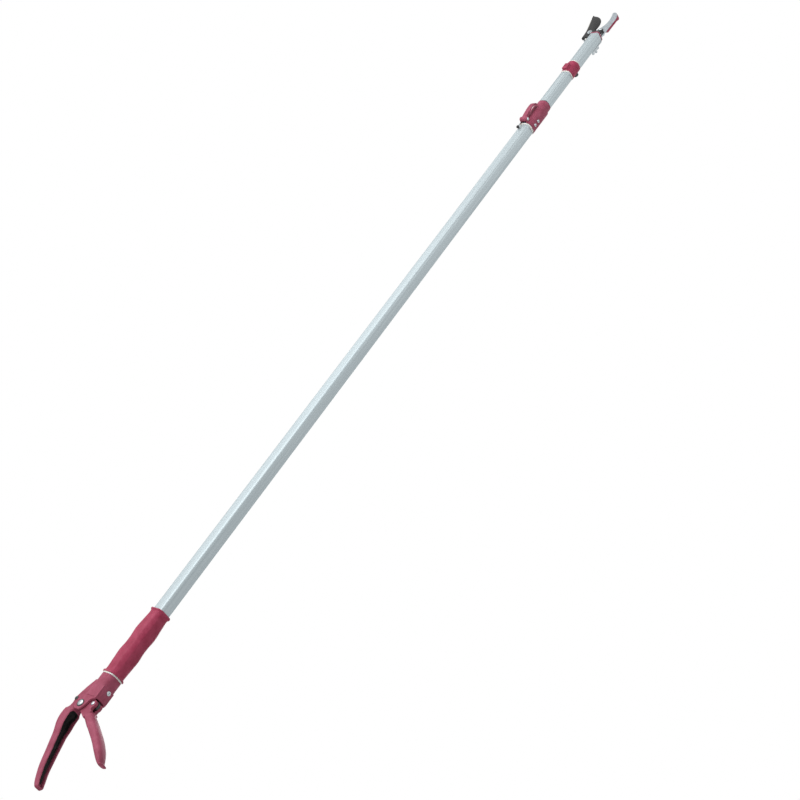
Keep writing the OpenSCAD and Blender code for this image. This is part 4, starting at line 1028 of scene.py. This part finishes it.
def jaw_pad():
    """The moulded pad on the hook: a floor with two countersinks, and a raised rib that rounds the tip."""
    floor = run_of(PAD_BACK) + run_of(PAD_MOUTH)
    holes = [arc(hole, 4.3, 0, 352.5, 47) for hole in PAD_HOLES]
    base = pressed([floor] + holes, at_head((0, 0), PLATE_FRONT), PAD_FLOOR - PLATE_FRONT, 0.5, CRIMSON, 3)
    raised = run_of(PAD_MOUTH[::-1]) + PAD_BACK[-1:] + run_of(PAD_BACK[:1:-1])[1:-1]
    raised += run_of(RIM_INSIDE)[:-1] + run_of(RIB_BACK)
    sunk = 0.6
    rib = pressed([raised], at_head((0, 0), PLATE_FRONT + sunk), PAD_FRONT - PLATE_FRONT - sunk,
                  0.55, CRIMSON, 3)
    rib_foot = PAD_FLOOR - 0.4
    for vertex in rib.vertices:
        height = vertex.co.z / MM - TUBE_END
        depth = -vertex.co.y / MM
        share = 1
        if vertex.co.x < RIM_SIDE * MM and height < RIM_FULL:
            share = max(0, (height - RIM_FOOT) / (RIM_FULL - RIM_FOOT))
        elif height > TIP_FALL:
            share = 1 - 0.7 * min(1, (height - TIP_FALL) / 6)
        if share < 1 and depth > rib_foot:
            vertex.co.y = -(rib_foot + (depth - rib_foot) * share) * MM
    cups = [lathe(CUP, at_head(hole, PLATE_FRONT), BLACK, 56) for hole in PAD_HOLES]
    return joined(base, rib, *cups)


piece("jaw_pad", jaw_pad(), "slider", "maroon", "grip_pad")

RIB_LONG = 6.4


def rack(count, radius, start, end):
    """Half-round ribs across the pad's mouth, at even steps between two heights."""
    ends = [(radius * 0.6, 0), (radius, 0.3), (radius, RIB_LONG - 0.3), (radius * 0.6, RIB_LONG)]
    rib = lathe(ends, Matrix.Rotation(math.pi / 2, 4, "X") @ Matrix.Scale(MM, 4), CRIMSON, 10)
    points = [(p.x, -PLATE_FRONT - 1.2, TUBE_END + p.y) for p in run_of(PAD_MOUTH) if start < p.y < end]
    edges = [(i, i + 1) for i in range(len(points) - 1)]
    return grown(RACK, {"Count": count, "Finish": CRIMSON}, points, edges, rib)


piece("jaw_ribs", joined(rack(27, 0.42, 31, 62), rack(11, 0.55, 68, 85)), "slider", "maroon")
seats = [(x, -PAD_FLOOR + 0.6, TUBE_END + z) for x, z in PAD_HOLES]
piece("pad_screw_heads", screws(3.7, 2.6, seats, (0, -1, 0), ZINC), "slider", "zinc", "pad_screws")

# Head: pivot, blade and holding plate
PIVOT_NUT = 10
pivot_back, pivot_front = depths("pivot_bolt")
shank = lathe([(2.6, 0), (3, 0.4), (3, 10)], at_head(PIVOT, pivot_back), ZINC, 32)
spacer = lathe([(4.6, 0), (4.6, 1.1)], at_head(PIVOT, PLATE_FRONT + 2.2), ZINC, 40)
pan = cross_screw(4.2, pivot_front - WASHER_FRONT, ZINC, 0.28)
pan.transform(at_head(PIVOT, WASHER_FRONT) @ Matrix.Scale(1 / MM, 4))
piece("pivot_screw", joined(shank, spacer, pan), "slider", "zinc", "pivot_bolt")
piece("pivot_disc", lathe([(5.1, 0), (5.3, 0.2), (5.3, 0.75), (5.0, 1.0), (3.4, 1.0)],
                          at_head(PIVOT, WASHER_BACK), ZINC, 56), "slider", "zinc", "pivot_washer")
back, front = depths("pivot_nut")
piece("pivot_nut_hex", hexagon(PIVOT_NUT, front - back, at_head(PIVOT, back)), "slider", "zinc", "pivot_nut")

BLADE_TAIL = 168
TAIL_ARM = 25
TAIL_HALF = 4.2
BLADE_HEEL = [(30.2, 61), (25.6, 50), (19, 27), (15.8, 4), (15.2, -8), (14.4, -14), (11.2, -16.8),
              (8, -14.8), (7, -10.6), (0, -12), (-6, -10.4)]
EDGE_CENTRE = Vector((37, 25.3))
EDGE_R = 42.6
BEVEL = 5.2
BEVEL_REACH = 35


def cutting_blade():
    """The blade: a flat coated blank, ground to a bright bevel on its back along the cutting edge."""
    edge = arc(EDGE_CENTRE, EDGE_R, 196, 100, 48)
    heel = run_of(BLADE_HEEL, 5)[1:]
    ground = [p + (EDGE_CENTRE - p).normalized() * BEVEL * min(1, i / 6, (len(edge) - 1 - i) / 5)
              for i, p in enumerate(edge)]
    place = at_head(PIVOT, 0)
    bm = bmesh.new()
    rings = []
    for line, depth in ((ground, BLADE_BACK), (edge, BLADE_FRONT - 0.35), (edge, BLADE_FRONT)):
        rings.append([place @ Vector((p.x, p.y, depth)) for p in line + heel])
    skin(bm, rings)
    bm.faces.ensure_lookup_table()
    for face in bm.faces:
        spot = place.inverted() @ face.calc_center_median()
        on_bevel = (spot.xy - EDGE_CENTRE).length > BEVEL_REACH and spot.y > 2
        if len(face.verts) == 4 and on_bevel and abs(face.normal.y) > 0.2:
            face.material_index = 1
    blank = made(bm, COATING, EDGE)
    inset = 0.06
    thick = BLADE_FRONT - BLADE_BACK - 2 * inset
    root = at_head(PIVOT, BLADE_BACK + inset)
    tongue = arc((TAIL_ARM, 0), TAIL_HALF, -90, 90, 16) + [(0, TAIL_HALF), (0, -TAIL_HALF)]
    swung = root @ Matrix.Rotation(math.radians(BLADE_TAIL), 4, "Z")
    tail = pressed([tongue], swung, thick, 0.2, COATING)
    boss = lathe([(11.8, 0), (12, 0.2), (12, thick - 0.2), (11.8, thick)], root, COATING, 72)
    return joined(blank, tail, boss)


piece("cutting_blade", cutting_blade(), "blade", "blade_coat", "blade")

TAIL = head_spot("tail_bolt")
TAIL_HEAD = 2.6
TAIL_NUT = 7
back, front = depths("tail_bolt")
shank = lathe([(1.9, 0), (2.0, 2), (2.0, front - back - 0.4), (1.6, front - back)],
              at_head(TAIL, back), ZINC, 32)
head_seat = at_head(TAIL, back + TAIL_HEAD) @ Matrix.Rotation(math.pi, 4, "X")
head = lathe(domed(3.4, TAIL_HEAD), head_seat, ZINC, 40)
piece("tail_screw", joined(shank, head), "blade", "zinc", "tail_bolt")
back, front = depths("tail_nut")
locknut = hexagon(TAIL_NUT, front - back - 1.2, at_head(TAIL, back))
crown = lathe([(3.3, 0), (3.3, 4.4), (3.0, 4.85), (2.3, 5)], at_head(TAIL, back), ZINC, 40)
piece("tail_locknut", joined(locknut, crown), "blade", "zinc", "tail_nut")

STOP_HEAD = 3.5
back, front = depths("stop_pin")
long = front - back
neck = long - STOP_HEAD
stop = lathe([(1.7, 0), (1.9, 0.2), (1.9, neck), (2.6, neck + 0.1), (2.7, neck + 0.3), (2.7, long - 0.5),
              (2.3, long)], at_head(head_spot("stop_pin"), back), ZINC, 40)
piece("plate_stop", stop, "blade", "zinc", "stop_pin")

HOLD_EDGE = [(4.8, 20.4), (6.6, 29.7), (9.7, 38.8), (14.8, 47.3), (20.9, 55.9), (25.6, 59.8)]
HOLD_BACK_EDGE = [(28.6, 61.6), (30.4, 60.4), (31.2, 58.6), (30.6, 56.4), (14.4, -4.6), (12.4, -7.6),
                  (5.6, -10.6)]
HOLD_NECK = [(-8.4, -10.6), (-9.6, -3), (-9.4, 3), (-4.8, 3.6), (1.7, 5.9), (4.6, 10.8), (5, 15)]
HOLD_WAVES = 13
HOLD_WINDOWS = [
    [(7.4, 11.5), (7.8, 17), (9.2, 21), (11.4, 22.6), (13.2, 20), (13.8, 15.6), (10.6, 11.6)],
    [(11, 28.6), (12.8, 33.4), (16.6, 34), (18.6, 31.6), (17.4, 27), (13.2, 25.4)],
    [(16.4, 39.6), (19.6, 44.4), (26.2, 51), (25, 45.6), (21.6, 37.6), (18.4, 36.6)]]
REAR_CLEAR = 19.3
SHEET_EDGE = 0.3
FOLD_LINE = [(31.25, 58.2, 0.15), (31.05, 57.4, 0.7), (30.8, 56.2, 1), (18.05, 7.6, 1)]
FOLD_HALF = [(-1.5, 0.5), (-0.4, 0.06), (0.9, 0.35), (1.35, 1.1), (1.4, 2)]
TAB_SIDES = [(6.0, 3), (6.0, 9), (-4.8, 9), (-6.2, 4)]
STEP_LINE = [(8.2, 1), (9.6, 1), (10.5, 0.93), (11.2, 0.75), (11.6, 0.25), (12.3, 0.07), (13.2, 0),
             (14.6, 0)]
STEP_SIDES = (-4.6, 5.9)
COIL = head_spot("spring_post")


def waved(points, waves, height):
    """A run with even waves along it."""
    line = run_of(points, 40)
    result = []
    for i, p in enumerate(line):
        ahead = around(line, i)
        across = Vector((-ahead.y, ahead.x)).normalized()
        result.append(p + across * height * math.cos(2 * math.pi * waves * i / (len(line) - 1)))
    return result


def plate_fold():
    """The round back of the folded plate, which runs out at its top."""
    place = at_head(PIVOT, 0)
    half = [(out, HOLD_BACK + up) for out, up in FOLD_HALF]
    half += [(out, HOLD_FRONT - up) for out, up in reversed(FOLD_HALF)]
    rings = []
    for x, y, swell in FOLD_LINE:
        section = [(out * swell if out > 0 else out, depth) for out, depth in half]
        rings.append([place @ Vector((x + out, y - 0.12 * out, depth)) for out, depth in section])
    return skinned(rings, STAINLESS)


def plate_step(place):
    """The bend that brings the tab forward of the plate."""
    flat = HOLD_FRONT - HOLD_T / 2
    rise = TAB_FRONT - HOLD_FRONT
    bend = run_of([(y, flat + rise * share) for y, share in STEP_LINE], 4)
    left, right = STEP_SIDES
    rings = []
    for i, p in enumerate(bend):
        ahead = around(bend, i).normalized()
        across = Vector((-ahead.y, ahead.x)) * (HOLD_T / 2 - 0.05)
        rings.append([place @ Vector((x, q.x, q.y)) for x, q in
                      ((left, p - across), (right, p - across), (right, p + across), (left, p + across))])
    return skinned(rings, STAINLESS)


def holding_plate():
    """The folded plate: two flanges with waved edges, three windows, a round fold and a stepped tab."""
    edge = waved(HOLD_EDGE, HOLD_WAVES, 0.8)
    outline = edge + HOLD_BACK_EDGE + HOLD_NECK
    windows = [run_of(w + w[:1])[:-1] for w in HOLD_WINDOWS]
    front = pressed([outline] + windows, at_head(PIVOT, HOLD_FRONT - HOLD_T), HOLD_T, SHEET_EDGE, STAINLESS)
    upper = [p for p in edge if p.length > REAR_CLEAR] + HOLD_BACK_EDGE[:4]
    upper += arc((0, 0), REAR_CLEAR, 46, 78, 10)
    rear = pressed([upper] + windows[1:], at_head(PIVOT, HOLD_BACK), HOLD_T, SHEET_EDGE, STAINLESS)
    tab = pressed([arc((0, 0), 6.6, 180, 360, 30) + TAB_SIDES],
                  at_head(COIL, TAB_FRONT - HOLD_T), HOLD_T, SHEET_EDGE, STAINLESS)
    return joined(front, rear, plate_fold(), tab, plate_step(at_head(COIL, 0)))


piece("hold_plate", holding_plate(), "holding_plate", "stainless", "holding_plate")

POST_HEAD = 1.2
back, front = depths("spring_post")
post = lathe([(2.4, 0), (2.6, 0.3), (2.6, front - back - 1)], at_head(COIL, back), ZINC, 32)
head = lathe(domed(3.6, POST_HEAD), at_head(COIL, front - POST_HEAD), ZINC, 40)
piece("spring_pin", joined(post, head), "holding_plate", "zinc", "spring_post")

COIL_R = 4.1
COIL_WIRE = 0.65
COIL_TURNS = 3


def tension_coil():
    """The holding plate's torsion spring: three turns round its pin and two legs, one over the tab."""
    back, front = depths("plate_spring")
    back += COIL_WIRE
    front -= COIL_WIRE
    path = [Vector((COIL_R, -5.6, back)), Vector((COIL_R, -3, back))]
    steps = COIL_TURNS * 24
    for i in range(steps + 1):
        a = 2 * math.pi * i / 24
        path.append(Vector((COIL_R * math.cos(a), COIL_R * math.sin(a), back + (front - back) * i / steps)))
    over = TAB_FRONT + COIL_WIRE
    path += run_of([(COIL_R, 0.6, front), (4.8, 3, front), (7.6, 4.4, front), (9.8, 5.4, front + 0.6),
                    (10.4, 7, (front + over) / 2), (9, 8.2, over), (4.4, 8.2, over)], 5)
    place = at_head(COIL, 0)
    rings = []
    for i, p in enumerate(path):
        ahead = around(path, i).normalized()
        side = ahead.cross(Vector((0, 0, 1))).normalized()
        up = side.cross(ahead)
        rings.append([place @ (p + COIL_WIRE * (math.cos(a) * side + math.sin(a) * up))
                      for a in (2 * math.pi * k / 12 for k in range(12))])
    return skinned(rings, WIRE)


piece("tension_coil", tension_coil(), "holding_plate", "stainless", "plate_spring")

# Saw bracket
CORNER = 1.2
RIM = 1.5


def bracket_plate():
    """The plated bracket: a flat strip with a rolled rim along its sides and its top."""
    low, high = box_mm("saw_bracket")
    back, front = depths("saw_bracket")
    half = (high.x - low.x) / 2
    top = high.z - TUBE_END
    foot = low.z - TUBE_END
    upper = arc((half - CORNER, top - CORNER), CORNER, 0, 90, 5)
    upper += arc((CORNER - half, top - CORNER), CORNER, 90, 180, 5)
    lower = arc((CORNER - half, foot + CORNER), CORNER, 180, 270, 5)
    lower += arc((half - CORNER, foot + CORNER), CORNER, 270, 360, 5)
    flat = pressed([upper + lower], at_head((0, 0), back), front - back, 0.25, ZINC)
    foot += 0.3
    inside = [(-half, foot), (RIM - half, foot), (RIM - half, top - RIM), (half - RIM, top - RIM),
              (half - RIM, foot)]
    rim = pressed([[(half, foot)] + upper + inside], at_head((0, 0), front - 0.2), 1.1, 0.45, ZINC, 3)
    return joined(flat, rim)


piece("bracket_plate", bracket_plate(), "slider", "zinc", "saw_bracket")

BOLT_HEX = 8
BOLT_SINK = 0.5
bracket_front = depths("saw_bracket")[1]
bolt_spot = Vector((0, head_spot("bracket_bolt").y))
flange = lathe([(5.5, 0), (5.6, 0.2), (5.5, 0.6), (4.4, 0.95)], at_head(bolt_spot, bracket_front), ZINC, 56)
bolt_hex = hexagon(BOLT_HEX, depths("bracket_bolt")[1] - bracket_front - BOLT_SINK,
                   at_head(bolt_spot, bracket_front + BOLT_SINK))
piece("flange_bolt", joined(flange, bolt_hex), "slider", "zinc", "bracket_bolt")

HUB_FRONT = bracket_front + 7
THREAD_STEP = 0.8
stud_spot = Vector((0, head_spot("saw_stud").y))
back, front = depths("saw_stud")
stud = lathe([(2.5, 0), (2.5, front - back - 0.6), (1.9, front - back)], at_head(stud_spot, back), ZINC, 40)
thread = wound((front - HUB_FRONT + 2) / THREAD_STEP, 2.3, front - HUB_FRONT + 1.2, 0.3,
               at_head(stud_spot, HUB_FRONT - 2), ZINC)
piece("stud", joined(stud, thread), "slider", "zinc", "saw_stud")
back, front = depths("stud_washer")
disc = lathe([(6.1, 0), (6.2, 0.15), (6.2, 0.75), (6.0, front - back), (3.2, front - back)],
             at_head(stud_spot, back), ZINC, 56)
piece("stud_disc", disc, "slider", "zinc", "stud_washer")
piece("wing", moulded("wing_nut", 0.28, 5, ZINC), "wing_nut", "zinc", "wing_nut", crease=60)

# CAD pieces that keep their own shape
KEPT = {"lower_rod": ANODISED, "upper_rod": ANODISED, "rod_collar": ZINC, "rod_lock": ZINC,
        "spring_seat": BLACK, "mouth_bush": NYLON, "tail_bush": NYLON, "clamp_shoe": BLACK}
for node, material in KEPT.items():
    for slot in nodes[node].material_slots:
        slot.material = material
